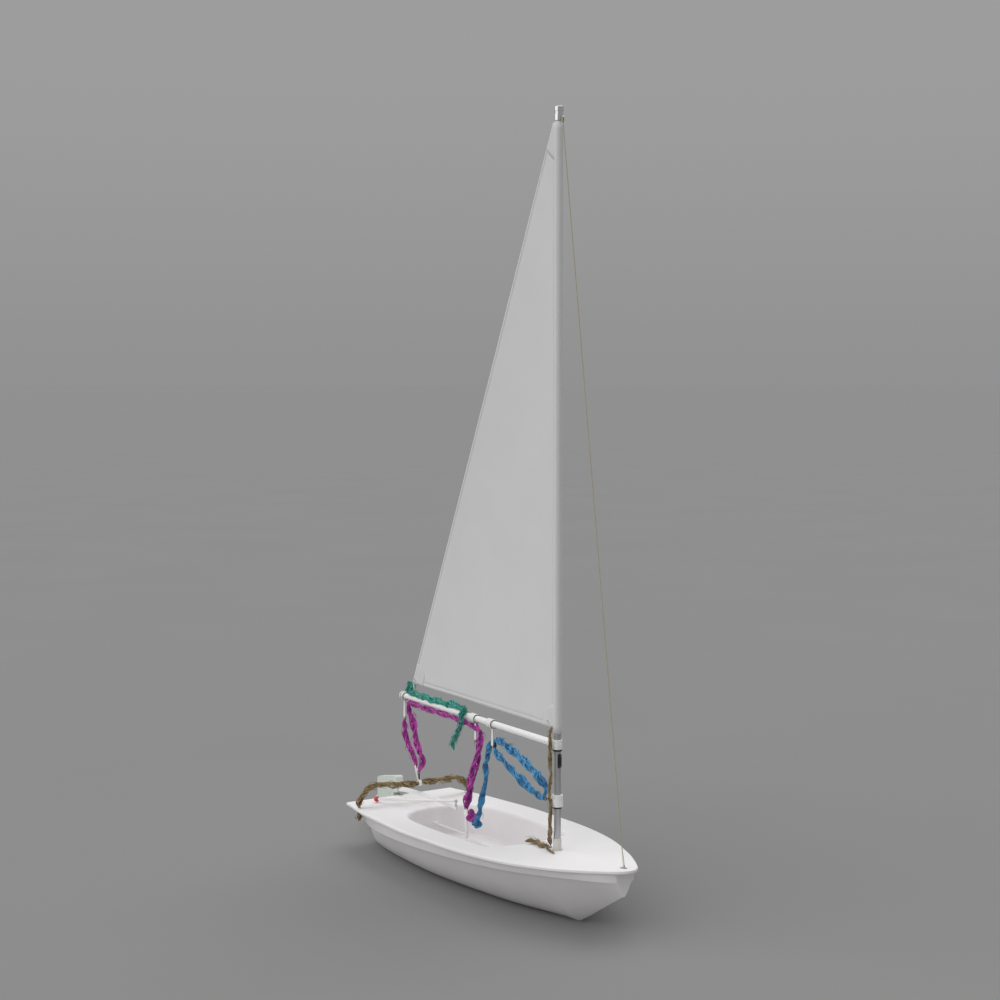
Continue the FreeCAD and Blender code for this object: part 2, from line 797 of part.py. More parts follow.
def make_fork_end():
    """Fork at the boom's fore end that takes the gooseneck's tongue."""
    radius = boom_fore_diameter / 2
    gap = tongue_thickness / 2 + turning_clearance
    start = Vector(-boom_fore + tongue_length / 4, 0, boom_height)
    fork = Part.makeCylinder(radius, 2 * tongue_length, start, -forward)
    far = boom_fore + tongue_length + seat_gap + turning_clearance
    low = boom_height - boom_fore_diameter
    fork = fork.cut(centred_block(-far, 0, gap, low, boom_height + boom_fore_diameter))
    return fork.cut(across(pin_diameter / 2 + seat_gap / 2, boom_fore_diameter, gooseneck_point()))


def make_gooseneck_pin():
    """Pin through the fork and the tongue."""
    return across(pin_diameter / 2, boom_fore_diameter / 2, gooseneck_point())


def boom_start():
    """Distance from the mast axis to the boom tube's fore end."""
    return boom_fore - tongue_length / 4 + 2 * tongue_length


def boom_radius(station):
    """Outer radius of the boom at this distance from the mast axis."""
    share = (station - boom_start()) / (boom_fore + boom_length - boom_start())
    return (boom_fore_diameter + (boom_aft_diameter - boom_fore_diameter) * share) / 2


def make_boom():
    """Tapered boom tube."""
    start = Vector(-boom_start(), 0, boom_height)
    length = boom_fore + boom_length - boom_start()
    fore = boom_fore_diameter / 2
    aft = boom_aft_diameter / 2
    tube = Part.makeCone(fore, aft, length, start, -forward)
    return tube.cut(Part.makeCone(fore - boom_wall, aft - boom_wall, length, start, -forward))


def make_end_cap():
    """Rounded knob on the boom's aft end."""
    radius = end_cap_diameter / 2
    end = boom_fore + boom_length
    knob = Part.makeSphere(radius, Vector(-end, 0, boom_height))
    low = boom_height - end_cap_diameter
    return knob.cut(centred_block(-end, 0, end_cap_diameter, low, boom_height + end_cap_diameter))


def band_eye(station):
    """Centre of the eye under a band on the boom."""
    outer = boom_radius(station) + seat_gap + band_wall
    return Vector(-station, 0, boom_height - outer - band_lug_drop)


def make_band(station, width):
    """Rounded band on the boom with a lug under its fore end."""
    inner = boom_radius(station - band_lug_width / 2) + seat_gap
    base = Vector(-station + band_lug_width / 2 - width, 0, boom_height)
    half = lug_thickness / 2
    band = Part.makeCylinder(inner + band_wall, width, base, forward)
    band = band.makeFillet(band_round, [e for e in band.Edges if e.BoundBox.XLength < seat_gap])
    eye = band_eye(station)
    root = Vector(-station, 0, boom_height - inner)
    band = band.fuse(pear_plate(root, eye, band_lug_width / 2, hanger_width / 2, -half, lug_thickness))
    band = band.cut(across(eye_diameter / 2, lug_thickness, eye))
    return band.cut(Part.makeCylinder(inner, width + 2 * overrun, base - forward * overrun, forward))


def make_boom_block(station, drop):
    """Pulley block that hangs from a band by its forked strap."""
    centre = Vector(-station, 0, boom_height - drop)
    eye = band_eye(station)
    half = sheave_width / 2
    radius = block_diameter / 2
    pieces = []
    for low_y in (half, -half - cheek_thickness):
        pieces.append(pear_plate(centre, eye, radius, hanger_width / 2, low_y, cheek_thickness))
    pieces.append(across(pin_diameter / 2, half, centre))
    pieces.append(across(eye_diameter / 2 - seat_gap, half, eye))
    pieces.append(sheave(radius - cheek_lip, centre))
    return pieces[0].fuse(pieces[1:])


def make_sail():
    """Flat sail with a sleeve round the mast along its luff."""
    inner = mast_radius + sleeve_gap
    outer = inner + sleeve_cloth
    sleeve = upright(outer, 0, sleeve_bottom, sail_head_height)
    outline = [
        Vector(0, 0, sail_tack_height),
        Vector(-sail_foot_length, 0, sail_tack_height + sail_foot_rise),
        Vector(-sail_head_width, 0, sail_head_height),
        Vector(0, 0, sail_head_height),
    ]
    cloth = sleeve.fuse(prism(outline, sail_cloth / 2))
    cloth = cloth.cut(upright(inner, 0, sleeve_bottom - overrun, sail_head_height + overrun))
    top_hem = Vector(0, 0, sail_head_height - hem_width)
    return cloth.fuse(ring(outer, mast_radius + turning_clearance, hem_width, top_hem, up))


def make_clew_strap():
    """Strap that ties the sail's clew down to the boom."""
    station = sail_foot_length - 2 * link_width
    low = boom_height + boom_radius(station - link_width / 2) + seat_gap
    high = sail_tack_height + sail_foot_rise * station / sail_foot_length - seat_gap
    return centred_block(-station - link_width / 2, -station + link_width / 2, sheave_width / 2, low, high)


def make_vang_collar():
    """Collar that turns on the mast, with an eye aft for the vang."""
    low = vang_collar_height - vang_collar_length / 2
    high = vang_collar_height + vang_collar_length / 2
    half = lug_thickness
    body = rounded_rims(upright(vang_collar_diameter / 2, 0, low, high), rim_round)
    root = Vector(-mast_radius, 0, vang_collar_height)
    eye = Vector(lug_radius - mast_radius - vang_lug_reach, 0, vang_collar_height)
    body = body.fuse(pear_plate(root, eye, vang_lug_root, lug_radius, -half, 2 * half))
    body = body.cut(across(eye_diameter / 2, 2 * lug_thickness, eye))
    return body.cut(upright(mast_radius + turning_clearance, 0, low - overrun, high + overrun))


def make_post():
    """Post on the cockpit floor under the mainsheet block, with its foot plate."""
    top = sheet_block_height - sheet_block_diameter / 2 - seat_gap
    post = upright(post_diameter / 2, -post_station, -cockpit_depth, top)
    foot = upright(post_foot_diameter / 2, -post_station, -cockpit_depth, -cockpit_depth + post_foot_height)
    return on_deck(post.fuse(foot))


def make_sheet_block():
    """Mainsheet block on top of the post."""
    half = sheave_width / 2
    radius = sheet_block_diameter / 2
    centre = Vector(-post_station, 0, sheet_block_height)
    head = centre + up * (radius - link_width / 2)
    pieces = []
    for low_y in (half, -half - cheek_thickness):
        pieces.append(pear_plate(centre, head, radius, link_width, low_y, cheek_thickness))
    pieces.append(across(pin_diameter / 2, half, centre))
    pieces.append(sheave(radius - 2 * cheek_lip, centre))
    return on_deck(pieces[0].fuse(pieces[1:]))


def make_toe_strap():
    """Flat strap from the post to its anchor on the cockpit's aft wall."""
    fore = -post_station - post_diameter / 2 + overrun
    aft = -(cockpit_fore + cockpit_length) + anchor_length + cockpit_draft
    strap = centred_block(aft, fore, strap_width / 2, -strap_depth, -strap_depth + strap_thickness)
    post_space = upright(post_diameter / 2 + seat_gap, -post_station, -cockpit_depth, cockpit_depth)
    return on_deck(strap.cut(post_space))


def make_strap_anchor():
    """Block on the cockpit's aft wall that holds the toe strap."""
    half = strap_width / 2 + case_wall / 2
    aft = -(cockpit_fore + cockpit_length) - overrun
    fore = -(cockpit_fore + cockpit_length) + anchor_length + cockpit_draft - seat_gap
    low = -strap_depth - case_wall / 2
    body = centred_block(aft, fore, half, low, low + case_wall + strap_thickness)
    return on_deck(body).common(cockpit_space())


def rudder_axis_x():
    """X of the rudder's pin axis on the level deck plane."""
    return -stern_to_mast - rudder_pin_gap


def gudgeon(base, reach):
    """Plate from the stern to an eye on the rudder's axis."""
    axis_x = rudder_axis_x()
    half = gudgeon_width / 2
    top = base + gudgeon_thickness
    plate = centred_block(axis_x + gudgeon_eye_radius / 2, axis_x + reach, half, base, top)
    plate = plate.fuse(upright(gudgeon_eye_radius, axis_x, base, top))
    return plate.cut(upright(pin_diameter / 2 + pin_fit, axis_x, base - overrun, top + overrun))


def make_gudgeon_top():
    """Strap on the deck's aft edge with a hole for the upper pintle."""
    return on_deck(gudgeon(0, rudder_pin_gap + gudgeon_seat))


def make_gudgeon_low():
    """Bracket on the transom with a hole for the lower pintle."""
    transom = from_stern(hull_line_shares[0][0])
    inside = centred_block(transom, length_overall, half_beam, 0, 2 * moulded_depth)
    plate = gudgeon(-low_gudgeon_drop, 2 * gudgeon_reach)
    return on_deck(plate).cut(inside)


def make_pintle(base):
    """Bracket on the rudder stock with a pin that drops through a gudgeon."""
    axis_x = rudder_axis_x()
    top = base + gudgeon_thickness
    plate = centred_block(axis_x - stock_gap, axis_x, gudgeon_eye_radius, base, top)
    plate = plate.fuse(upright(gudgeon_eye_radius, axis_x, base, top))
    return on_deck(plate.fuse(upright(pin_diameter / 2, axis_x, top - pin_reach, top)))


def blade_pivot():
    """Centre of the blade's pin, on the level deck plane."""
    return Vector(rudder_axis_x() - stock_gap - blade_pivot_aft, 0, -stock_drop / 2)


def make_stock():
    """Rudder stock with its head reaching over the deck, a bevelled heel and a slot for the blade."""
    fore = rudder_axis_x() - stock_gap
    aft = fore - stock_length
    half = stock_thickness / 2
    outline = [
        Vector(fore, 0, -stock_drop),
        Vector(fore, 0, head_low),
        Vector(fore + head_reach, 0, head_low),
        Vector(fore + head_reach, 0, head_fore_top),
        Vector(aft, 0, head_aft_top),
        Vector(aft, 0, -stock_drop + stock_bevel),
        Vector(aft + stock_bevel, 0, -stock_drop),
    ]
    body = prism(outline, half)
    top_corners = [e for e in body.Edges if e.BoundBox.ZMin > head_low + overrun and e.BoundBox.YLength > half]
    body = body.makeFillet(stock_round, top_corners)
    pivot = blade_pivot()
    reach = blade_chord / 2 + 3 * blade_clearance
    slot_half = blade_thickness / 2 + blade_clearance
    slot = centred_block(aft - overrun, pivot.x + reach, slot_half, -stock_drop - overrun, pivot.z + reach)
    return on_deck(body.cut(slot))


def make_blade_pin():
    """Pin between the stock's cheeks that the blade turns on."""
    return on_deck(across(pin_diameter / 2, blade_thickness / 2 + blade_clearance, blade_pivot()))


def make_blade():
    """Rudder blade, trailing with its tip just clear of the ground."""
    pivot = blade_pivot()
    blade = foil_board(pivot, blade_length, blade_chord, blade_thickness)
    blade.rotate(pivot, port, -blade_rest_angle)
    return on_deck(blade)


def tiller_root_x():
    """Place of the tiller's aft end, at the front of the rudder head."""
    return rudder_axis_x() - stock_gap + head_reach


def tiller_section(share):
    """Rectangle across the boat at a share of the way along the arched tiller."""
    x = tiller_root_x() + share * tiller_length
    width = tiller_aft_width + (tiller_fore_width - tiller_aft_width) * share
    middle = tiller_height + 4 * tiller_arch * share * (1 - share)
    low = middle - tiller_depth(x) / 2
    high = middle + tiller_depth(x) / 2
    corners = [(-width / 2, low), (width / 2, low), (width / 2, high), (-width / 2, high)]
    points = [Vector(x, y, z) for y, z in corners]
    return Part.makePolygon(points + [points[0]])


def make_tiller():
    """Arched tiller that tapers from the stock to its fore end over the cockpit."""
    body = Part.makeLoft([tiller_section(share) for share in (0, 0.5, 1)], True, False)
    long_edges = [e for e in body.Edges if e.Length > tiller_length / 2]
    return on_deck(body.makeFillet(tiller_round, long_edges))


def tiller_depth(x):
    """Depth of the tiller at x."""
    share = (x - tiller_root_x()) / tiller_length
    return tiller_aft_depth + (tiller_fore_depth - tiller_aft_depth) * share


def swivel_point():
    """Point on the tiller's fore end that the extension turns about."""
    x = tiller_root_x() + tiller_length - swivel_aft
    drop = tiller_arch * (1 - (1 - 2 * swivel_aft / tiller_length) ** 2)
    return Vector(x, 0, tiller_height + drop + tiller_depth(x) / 2)


def extension_direction():
    """Direction of the extension from its joint, aft and to starboard."""
    turn = math.radians(extension_rest_angle)
    return Vector(-math.cos(turn), -math.sin(turn), 0)


def swivel_centre():
    """Centre of the joint's barrel, over the swivel's base."""
    return swivel_point() + up * (swivel_seat + swivel_base + extension_diameter / 2 + swivel_lift)


def make_swivel():
    """Joint that turns on the tiller's fore end, with a barrel that the extension lifts about."""
    foot = swivel_point() + up * swivel_seat
    centre = swivel_centre()
    base = Part.makeCylinder(tiller_fore_width / 2, swivel_base, foot, up)
    neck = rod(foot, centre, swivel_neck_diameter / 2)
    side = up.cross(extension_direction())
    start = centre - side * (swivel_barrel_length / 2)
    barrel = Part.makeCylinder(swivel_barrel_diameter / 2, swivel_barrel_length, start, side)
    return on_deck(base.fuse([neck, barrel]))


def extension_end():
    """Centre of the ball grip at the extension's far end, just over the deck."""
    end = swivel_centre() + extension_direction() * extension_length
    end.z = extension_ball / 2 + extension_clearance
    return end


def extension_start():
    """Fore end of the extension tube, at the joint's barrel."""
    along = (extension_end() - swivel_centre()).normalize()
    return swivel_centre() + along * (swivel_barrel_diameter / 2 + seat_gap)


def make_extension():
    """Extension tube lying aft over the deck."""
    tube = rod(extension_start(), extension_end(), extension_diameter / 2)
    return on_deck(tube.cut(Part.makeSphere(extension_ball / 2, extension_end())))


def make_ball():
    """Ball grip on the extension's end."""
    return on_deck(Part.makeSphere(extension_ball / 2, extension_end()))


def build_hull():
    """Write the hull, its deck, its case and what is fixed to them."""
    save("hull", make_hull())
    save("deck", make_deck())
    save("drain_bung", make_drain())
    save("fairlead_port", make_fairlead(1))
    save("fairlead_starboard", make_fairlead(-1))
    save("centreboard_case", make_case())
    save("centreboard_pin", make_board_pin())
    save("centreboard", make_centreboard())
    save("bow_plate", make_bow_plate())
    save("deck_eye", make_deck_eye())
    save("mainsheet_post", make_post())
    save("mainsheet_block", make_sheet_block())
    save("toe_strap", make_toe_strap())
    save("toe_strap_anchor", make_strap_anchor())


def build_mast():
    """Write the mast, the forestay and what is fixed to the mast."""
    save("mast", make_mast())
    save("masthead_cap", make_cap())
    save("mast_collar", make_collar())
    save("forestay", make_stay())
    save("turnbuckle", make_turnbuckle())
    save("gooseneck_stop", make_stop(boom_height - gooseneck_height / 2 - turning_clearance))
    save("vang_stop", make_stop(vang_collar_height - vang_collar_length / 2 - turning_clearance))
    save("mast_cleat", make_mast_cleat())


def build_boom():
    """Write the boom, the sail and what swings with them."""
    save("gooseneck_collar", make_gooseneck_collar())
    save("gooseneck_fork", make_fork_end())
    save("gooseneck_pin", make_gooseneck_pin())
    save("boom", make_boom())
    save("boom_end_cap", make_end_cap())
    for place, station in band_stations.items():
        save("boom_band_" + place, make_band(station, band_widths[place]))
        save("boom_block_" + place, make_boom_block(station, block_drops[place]))
    save("sail", make_sail())
    save("clew_strap", make_clew_strap())
    save("vang_collar", make_vang_collar())


def build_rudder():
    """Write the rudder, its gudgeons, the tiller and the extension."""
    save("gudgeon_top", make_gudgeon_top())
    save("gudgeon_low", make_gudgeon_low())
    save("rudder_stock", make_stock())
    save("pintle_top", make_pintle(gudgeon_thickness + turning_clearance))
    save("pintle_low", make_pintle(-low_gudgeon_drop + gudgeon_thickness + turning_clearance))
    save("rudder_blade", make_blade())
    save("blade_pin", make_blade_pin())
    save("tiller", make_tiller())
    save("extension_swivel", make_swivel())
    save("extension_tube", make_extension())
    save("extension_ball", make_ball())


os.makedirs("parts", exist_ok=True)
build_hull()
build_mast()
build_boom()
build_rudder()
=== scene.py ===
"""A single-handed sailing dinghy, dressed for its picture.

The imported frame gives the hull, spars, rudder and centreboard. This script gives every part its
finish, and adds what is soft or small: the sail and its hems, the ropes and their knots, the
hooks, rings and screws, and the traveller block. Lengths are in metres unless a name says otherwise.
"""

import json
import logging
import math
from collections.abc import Callable, Sequence
from dataclasses import dataclass, field
from enum import Enum

import bmesh
import bpy
from mathutils import Matrix, Vector, noise
from mathutils.bvhtree import BVHTree

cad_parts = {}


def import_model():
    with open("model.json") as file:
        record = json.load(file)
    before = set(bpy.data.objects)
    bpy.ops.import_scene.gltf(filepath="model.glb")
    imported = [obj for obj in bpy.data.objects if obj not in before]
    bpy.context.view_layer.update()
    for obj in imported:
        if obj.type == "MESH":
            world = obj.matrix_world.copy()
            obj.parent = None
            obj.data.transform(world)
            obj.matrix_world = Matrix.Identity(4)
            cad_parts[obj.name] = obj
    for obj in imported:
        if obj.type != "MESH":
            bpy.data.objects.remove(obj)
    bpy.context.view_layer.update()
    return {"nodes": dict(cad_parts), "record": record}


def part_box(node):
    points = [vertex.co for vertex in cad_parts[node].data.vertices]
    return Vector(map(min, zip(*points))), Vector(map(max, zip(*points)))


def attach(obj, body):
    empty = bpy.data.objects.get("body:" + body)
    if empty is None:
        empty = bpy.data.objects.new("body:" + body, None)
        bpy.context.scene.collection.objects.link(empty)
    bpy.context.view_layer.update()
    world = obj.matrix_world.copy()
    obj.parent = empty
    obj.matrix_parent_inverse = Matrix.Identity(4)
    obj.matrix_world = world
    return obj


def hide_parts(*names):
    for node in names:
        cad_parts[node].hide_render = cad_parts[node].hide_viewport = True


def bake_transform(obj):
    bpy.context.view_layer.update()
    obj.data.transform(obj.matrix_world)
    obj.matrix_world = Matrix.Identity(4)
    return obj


LOG = logging.getLogger("dinghy")
MILLIMETRE = 0.001
FORWARD = Vector((1.0, 0.0, 0.0))
PORT = Vector((0.0, 1.0, 0.0))
UP = Vector((0.0, 0.0, 1.0))
DECK_SLOPE = math.radians(2.06)
DECK_AT_MAST = 0.507
BOOM_HEIGHT = 1.396
# The Mix node's colour sockets share their names with others, so they are found by number
COLOUR_A, COLOUR_B, COLOUR_OUT = 6, 7, 2
# At this scale the Wave texture's bands lie about one unit apart
BAND_SCALE = 0.31831
# Vertices closer than this are one
SAME_PLACE = 1e-6
FULL_TURN_DEG = 360.0
# How finely a ring or hook of wire is made, round the wire and along it
WIRE_SIDES, WIRE_STEPS = 10, 32

Point = tuple[float, float, float]
Pair = tuple[float, float]
Route = Sequence[Point]
Colour = tuple[float, float, float, float]
# For each step along a route, the point and two directions across it
Frames = list[tuple[Vector, Vector, Vector]]
# A tube's points and its radius at each
Strand = tuple[list[Vector], list[float]]
# A knot's middle, how wide it is across the rope, and how far it is turned about the Y axis, in degrees
Knot = tuple[Point, float, float]
# For each screw, its node, a point off the node, the way in, and how large it is
Screws = list[tuple[str, Point, Point, float]]
Piece = bpy.types.Object
Shape = bmesh.types.BMesh
Socket = bpy.types.NodeSocket
Tree = bpy.types.NodeTree


def linear(code: str) -> Colour:
    """Turns a hex sRGB colour into the linear colour that a shader takes.

    Args:
        code: Six hex digits after a hash.

    Returns:
        Red, green, blue and alpha, from 0 to 1.
    """
    channels = [int(code[i : i + 2], 16) / 255.0 for i in (1, 3, 5)]
    red, green, blue = (c / 12.92 if c <= 0.04045 else ((c + 0.055) / 1.055) ** 2.4 for c in channels)
    return red, green, blue, 1.0


def add_node(
    tree: Tree, kind: str, sockets: dict[str | int, object] | None = None, **settings: str | bool
) -> bpy.types.Node:
    """Adds one shader node, with its settings, socket values and links.

    Args:
        tree: The node tree that gets the node.
        kind: The node's class name.
        sockets: For each input, by name or number, a value, or the output that feeds it.
        settings: The node's own properties.

    Returns:
        The new node.
    """
    node = tree.nodes.new(kind)
    for name, value in settings.items():
        setattr(node, name, value)
    for name, value in (sockets or {}).items():
        if isinstance(value, Socket):
            tree.links.new(value, node.inputs[name])
        else:
            node.inputs[name].default_value = value
    return node


def amidships(*spots: Pair) -> Route:
    """Puts a route's distances forward and heights in the boat's middle plane."""
    return tuple((along, 0.0, height) for along, height in spots)


def on_deck(route: Route) -> Route:
    """Turns a route that is measured on the sloping deck, from the mast, into the shared frame."""
    turn = Matrix.Rotation(-DECK_SLOPE, 3, "Y")
    return [tuple(turn @ Vector(point) + UP * DECK_AT_MAST) for point in route]


class Surface(Enum):
    """What breaks up a finish's plain colour."""

    MOTTLED = "mottled"
    BRUSHED = "brushed"
    WOVEN = "woven"
    TWISTED = "twisted"
    PEBBLED = "pebbled"


@dataclass(frozen=True)
class Finish:
    """One finish: what it is made of, its two colours, its gloss and its small pattern."""

    name: str
    colour: str
    shade: str
    roughness: float
    surface: Surface = Surface.MOTTLED
    grain_mm: float = 60.0
    relief_mm: float = 0.05
    metallic: float = 0.0
    # Plastics, paint and fibre bend light about this much. It is also the default, which a metal keeps
    ior: float = 1.5
    coat: float = 0.0
    sheen: float = 0.0
    cloud_mm: float = 455.0
    coat_roughness: float = 0.12
    dulling: float = 1.35
    brush_stretch: float = 0.02
    fibre_turns: float = 4.0
    # How much painted shade the grooves between a twisted yarn's fibres get, and the size and levels of its
    # streaks of uneven dye, painted highlight and painted shade
    painted_lay_shade: float = 0.45
    dye_and_highlight_streaks: Point = (11.0, 2.5, 1.0)
    dye_and_highlight_levels: Pair = (0.4, 0.62)

    @property
    def clouds_per_metre(self) -> float:
        """How many of the broad clouds lie in a metre."""
        return 1.0 / (self.cloud_mm * MILLIMETRE)

    def material(self) -> bpy.types.Material:
        """Makes the finish's material, or finds it if it was made before.

        Returns:
            The material.
        """
        known = bpy.data.materials.get(self.name)
        if known:
            return known
        made = bpy.data.materials.new(self.name)
        made.use_nodes = True
        made.diffuse_color = linear(self.colour)
        tree = made.node_tree
        tree.nodes.clear()
        blend, height = self.pattern(tree)
        colours = {"Factor": blend, COLOUR_A: linear(self.colour), COLOUR_B: linear(self.shade)}
        colour = add_node(tree, "ShaderNodeMix", colours, data_type="RGBA")
        dullest = min(1.0, self.roughness * self.dulling)
        dulled = {"Value": blend, "To Min": self.roughness, "To Max": dullest}
        relief = {"Height": height, "Strength": 0.6, "Distance": self.relief_mm * MILLIMETRE}
        skin = {
            "Base Color": colour.outputs[COLOUR_OUT],
            "Metallic": self.metallic,
            "IOR": self.ior,
            "Roughness": add_node(tree, "ShaderNodeMapRange", dulled).outputs["Result"],
            "Normal": add_node(tree, "ShaderNodeBump", relief).outputs["Normal"],
            "Coat Weight": self.coat,
            "Coat Roughness": self.coat_roughness,
            "Sheen Weight": self.sheen,
        }
        shader = add_node(tree, "ShaderNodeBsdfPrincipled", skin)
        add_node(tree, "ShaderNodeOutputMaterial", {"Surface": shader.outputs["BSDF"]})
        return made

    def pattern(self, tree: Tree) -> tuple[Socket, Socket]:
        """Draws the finish's pattern.

        Args:
            tree: The material's node tree.

        Returns:
            The share of the second colour, and the height for the bump.
        """
        texture = add_node(tree, "ShaderNodeTexCoord").outputs
        place = texture["Object"]
        per_metre = 1.0 / (self.grain_mm * MILLIMETRE)
        if self.surface is Surface.TWISTED:
            return self.twisted(tree, texture["UV"], place, per_metre)
        if self.surface is Surface.WOVEN:
            return self.woven(tree, place, per_metre)
        if self.surface is Surface.PEBBLED:
            pebbles = add_node(tree, "ShaderNodeTexVoronoi", {"Vector": place, "Scale": per_metre})
            broad = {"Vector": place, "Scale": self.clouds_per_metre, "Detail": 5.0}
            cloudy = add_node(tree, "ShaderNodeTexNoise", broad)
            return cloudy.outputs["Fac"], pebbles.outputs["Distance"]
        if self.surface is Surface.BRUSHED:
            marks = {"Vector": place, "Scale": (per_metre, per_metre, per_metre * self.brush_stretch)}
            drawn = add_node(tree, "ShaderNodeMapping", marks).outputs["Vector"]
            grain = {"Vector": drawn, "Scale": 1.0, "Detail": 3.0}
        else:
            grain = {"Vector": place, "Scale": per_metre, "Detail": 6.0}
        fine = add_node(tree, "ShaderNodeTexNoise", grain).outputs["Fac"]
        return fine, fine

    def twisted(self, tree: Tree, yarn: Socket, place: Socket, per_metre: float) -> tuple[Socket, Socket]:
        """Draws the fibres that wind round a yarn, with painted shade between them, and streaks of uneven
        dye, painted highlight and painted shade.

        Args:
            tree: The material's node tree.
            yarn: The place along and round the yarn.
            place: The place on the object.
            per_metre: How many fibres cross a metre.

        Returns:
            The share of the second colour, and the height for the bump.
        """
        around = {"Vector": yarn, "Scale": (per_metre, self.fibre_turns, 1.0)}
        wound = add_node(tree, "ShaderNodeMapping", around).outputs["Vector"]
        bands = {"Vector": wound, "Scale": BAND_SCALE, "Distortion": 1.6, "Detail": 2.0}
        fibre = add_node(tree, "ShaderNodeTexWave", bands, bands_direction="DIAGONAL").outputs["Fac"]
        # Streaks of slightly uneven dye, which the levels push to strong painted highlight and painted shade
        streaks = add_node(tree, "ShaderNodeMapping", {"Vector": yarn, "Scale": self.dye_and_highlight_streaks})
        both = {0: streaks.outputs["Vector"], 1: place}
        spread = add_node(tree, "ShaderNodeVectorMath", both, operation="ADD").outputs["Vector"]
        dye_and_highlight = add_node(tree, "ShaderNodeTexNoise", {"Vector": spread, "Scale": 2.0, "Detail": 3.0})
        pale, deep = self.dye_and_highlight_levels
        levels = {"Value": dye_and_highlight.outputs["Fac"], "From Min": pale, "From Max": deep}
        patches = add_node(tree, "ShaderNodeMapRange", levels)
        # The fibre bands add painted shade in the grooves between the fibres
        sums = {0: fibre, 1: self.painted_lay_shade, 2: patches.outputs["Result"]}
        mixed = add_node(tree, "ShaderNodeMath", sums, operation="MULTIPLY_ADD", use_clamp=True)
        return mixed.outputs["Value"], fibre

    def woven(self, tree: Tree, place: Socket, per_metre: float) -> tuple[Socket, Socket]:
        """Draws crossing threads, with a broad faint cloud over them.

        Args:
            tree: The material's node tree.
            place: The place on the object.
            per_metre: How many threads lie in a metre.

        Returns:
            The share of the second colour, and the height for the bump.
        """
        bands = {"Vector": place, "Scale": per_metre * BAND_SCALE, "Distortion": 0.4}
        warp, weft = (
            add_node(tree, "ShaderNodeTexWave", bands, bands_direction=way).outputs["Fac"] for way in "XZ"
        )
        weave = add_node(tree, "ShaderNodeMath", {0: warp, 1: weft}, operation="ADD")
        broad = {"Vector": place, "Scale": self.clouds_per_metre, "Detail": 3.0}
        return add_node(tree, "ShaderNodeTexNoise", broad).outputs["Fac"], weave.outputs["Value"]

    def dress(self, piece: Piece) -> None:
        """Gives every slot of a piece this finish.

        Args:
            piece: The piece, which gets a slot if it has none.
        """
        material = self.material()
        if not piece.material_slots:
            piece.data.materials.append(material)
        for slot in piece.material_slots:
            slot.material = material


# White gelcoat, sprayed in a polished mould: a deep wet gloss over a clean, faintly cloudy white
HULL_GELCOAT = Finish("hull_gelcoat", "#F2EFF0", "#E9E6E7", 0.28, grain_mm=220.0, relief_mm=0.2, coat=0.3)
# The same gelcoat with a moulded grip: a duller white broken by 3 mm pebbles
DECK_GELCOAT = Finish("deck_gelcoat", "#F6F4F5", "#EFEDEE", 0.5, Surface.PEBBLED, 3.0, 0.25, cloud_mm=333.0)
# Drawn aluminium tube with a satin anodised skin: soft lengthwise lines, bright towards the light
MAST_ALUMINIUM = Finish("anodised_mast", "#C9C9CB", "#B2B2B6", 0.36, Surface.BRUSHED, 1.2, 0.02, 0.85)
# White powder coat on aluminium: an even skin with a slight orange peel
BOOM_PAINT = Finish("powder_coated_boom", "#FAFAF9", "#EFEFED", 0.36, grain_mm=9.0, relief_mm=0.06)
# Polished stainless steel: bright, with fine marks from the buffing wheel
STEEL = Finish("polished_stainless", "#D2D3D5", "#B4B6B9", 0.22, Surface.BRUSHED, 0.8, 0.01, 1.0)
# Chromed cap at the masthead: a mirror with the least haze
CHROME = Finish("chromed_cap", "#E2E3E5", "#CFD0D3", 0.16, grain_mm=20.0, relief_mm=0.01, metallic=1.0)
# White acetal, moulded smooth: a soft waxy gloss
WHITE_ACETAL = Finish("moulded_acetal", "#F4F3F1", "#E6E5E2", 0.34, grain_mm=12.0, relief_mm=0.04)
# Pale grey nylon collar: a satin skin with flow marks
GREY_NYLON = Finish("moulded_grey_nylon", "#DEDEDA", "#CBCBC6", 0.42, grain_mm=10.0)
# Black glass-filled nylon: dull, with a faint grain
BLACK_NYLON = Finish("black_glass_filled_nylon", "#151517", "#26262A", 0.5, grain_mm=2.0, relief_mm=0.04)
# Woven polyester webbing: flat ribs across a strap
WEBBING = Finish("polyester_webbing", "#DCDCD8", "#C4C4BE", 0.75, Surface.WOVEN, 3.0, 0.5, sheen=0.3)
# Plain woven polyester sailcloth, drawn with 4 mm threads, coarser than real, so that they show:
# an even matt grey-white that goes faintly cloudy where the cloth was folded
SAILCLOTH = Finish("woven_sailcloth", "#DFDFDF", "#D7D7D7", 0.62, Surface.WOVEN, 4.0, 0.12, sheen=0.1)
# The same cloth, doubled and sewn flat along the edges: a shade denser
DOUBLED_CLOTH = Finish("doubled_sailcloth", "#DDDDDD", "#D5D5D5", 0.6, Surface.WOVEN, 4.0, 0.2, sheen=0.1)
# Pale green enamel brushed on the rudder stock: a satin skin, faintly uneven
STOCK_ENAMEL = Finish("pale_green_enamel", "#DDE6DD", "#CDD8CE", 0.4, grain_mm=30.0, relief_mm=0.08)
# Painted glass-fibre foils: warm white with light scuffs
FOIL_GELCOAT = Finish("foil_gelcoat", "#EDEBDC", "#DEDBC8", 0.32, grain_mm=80.0, relief_mm=0.1, coat=0.2)
# Grey-green rubber joint: matt and slightly dusty
RUBBER = Finish("grey_green_rubber", "#CDD5CC", "#B2BCB2", 0.7, grain_mm=5.0, relief_mm=0.1)
# Red plastic ball, moulded with a light sheen
RED_PLASTIC = Finish("red_moulded_plastic", "#D8414C", "#BC333D", 0.35, grain_mm=8.0)
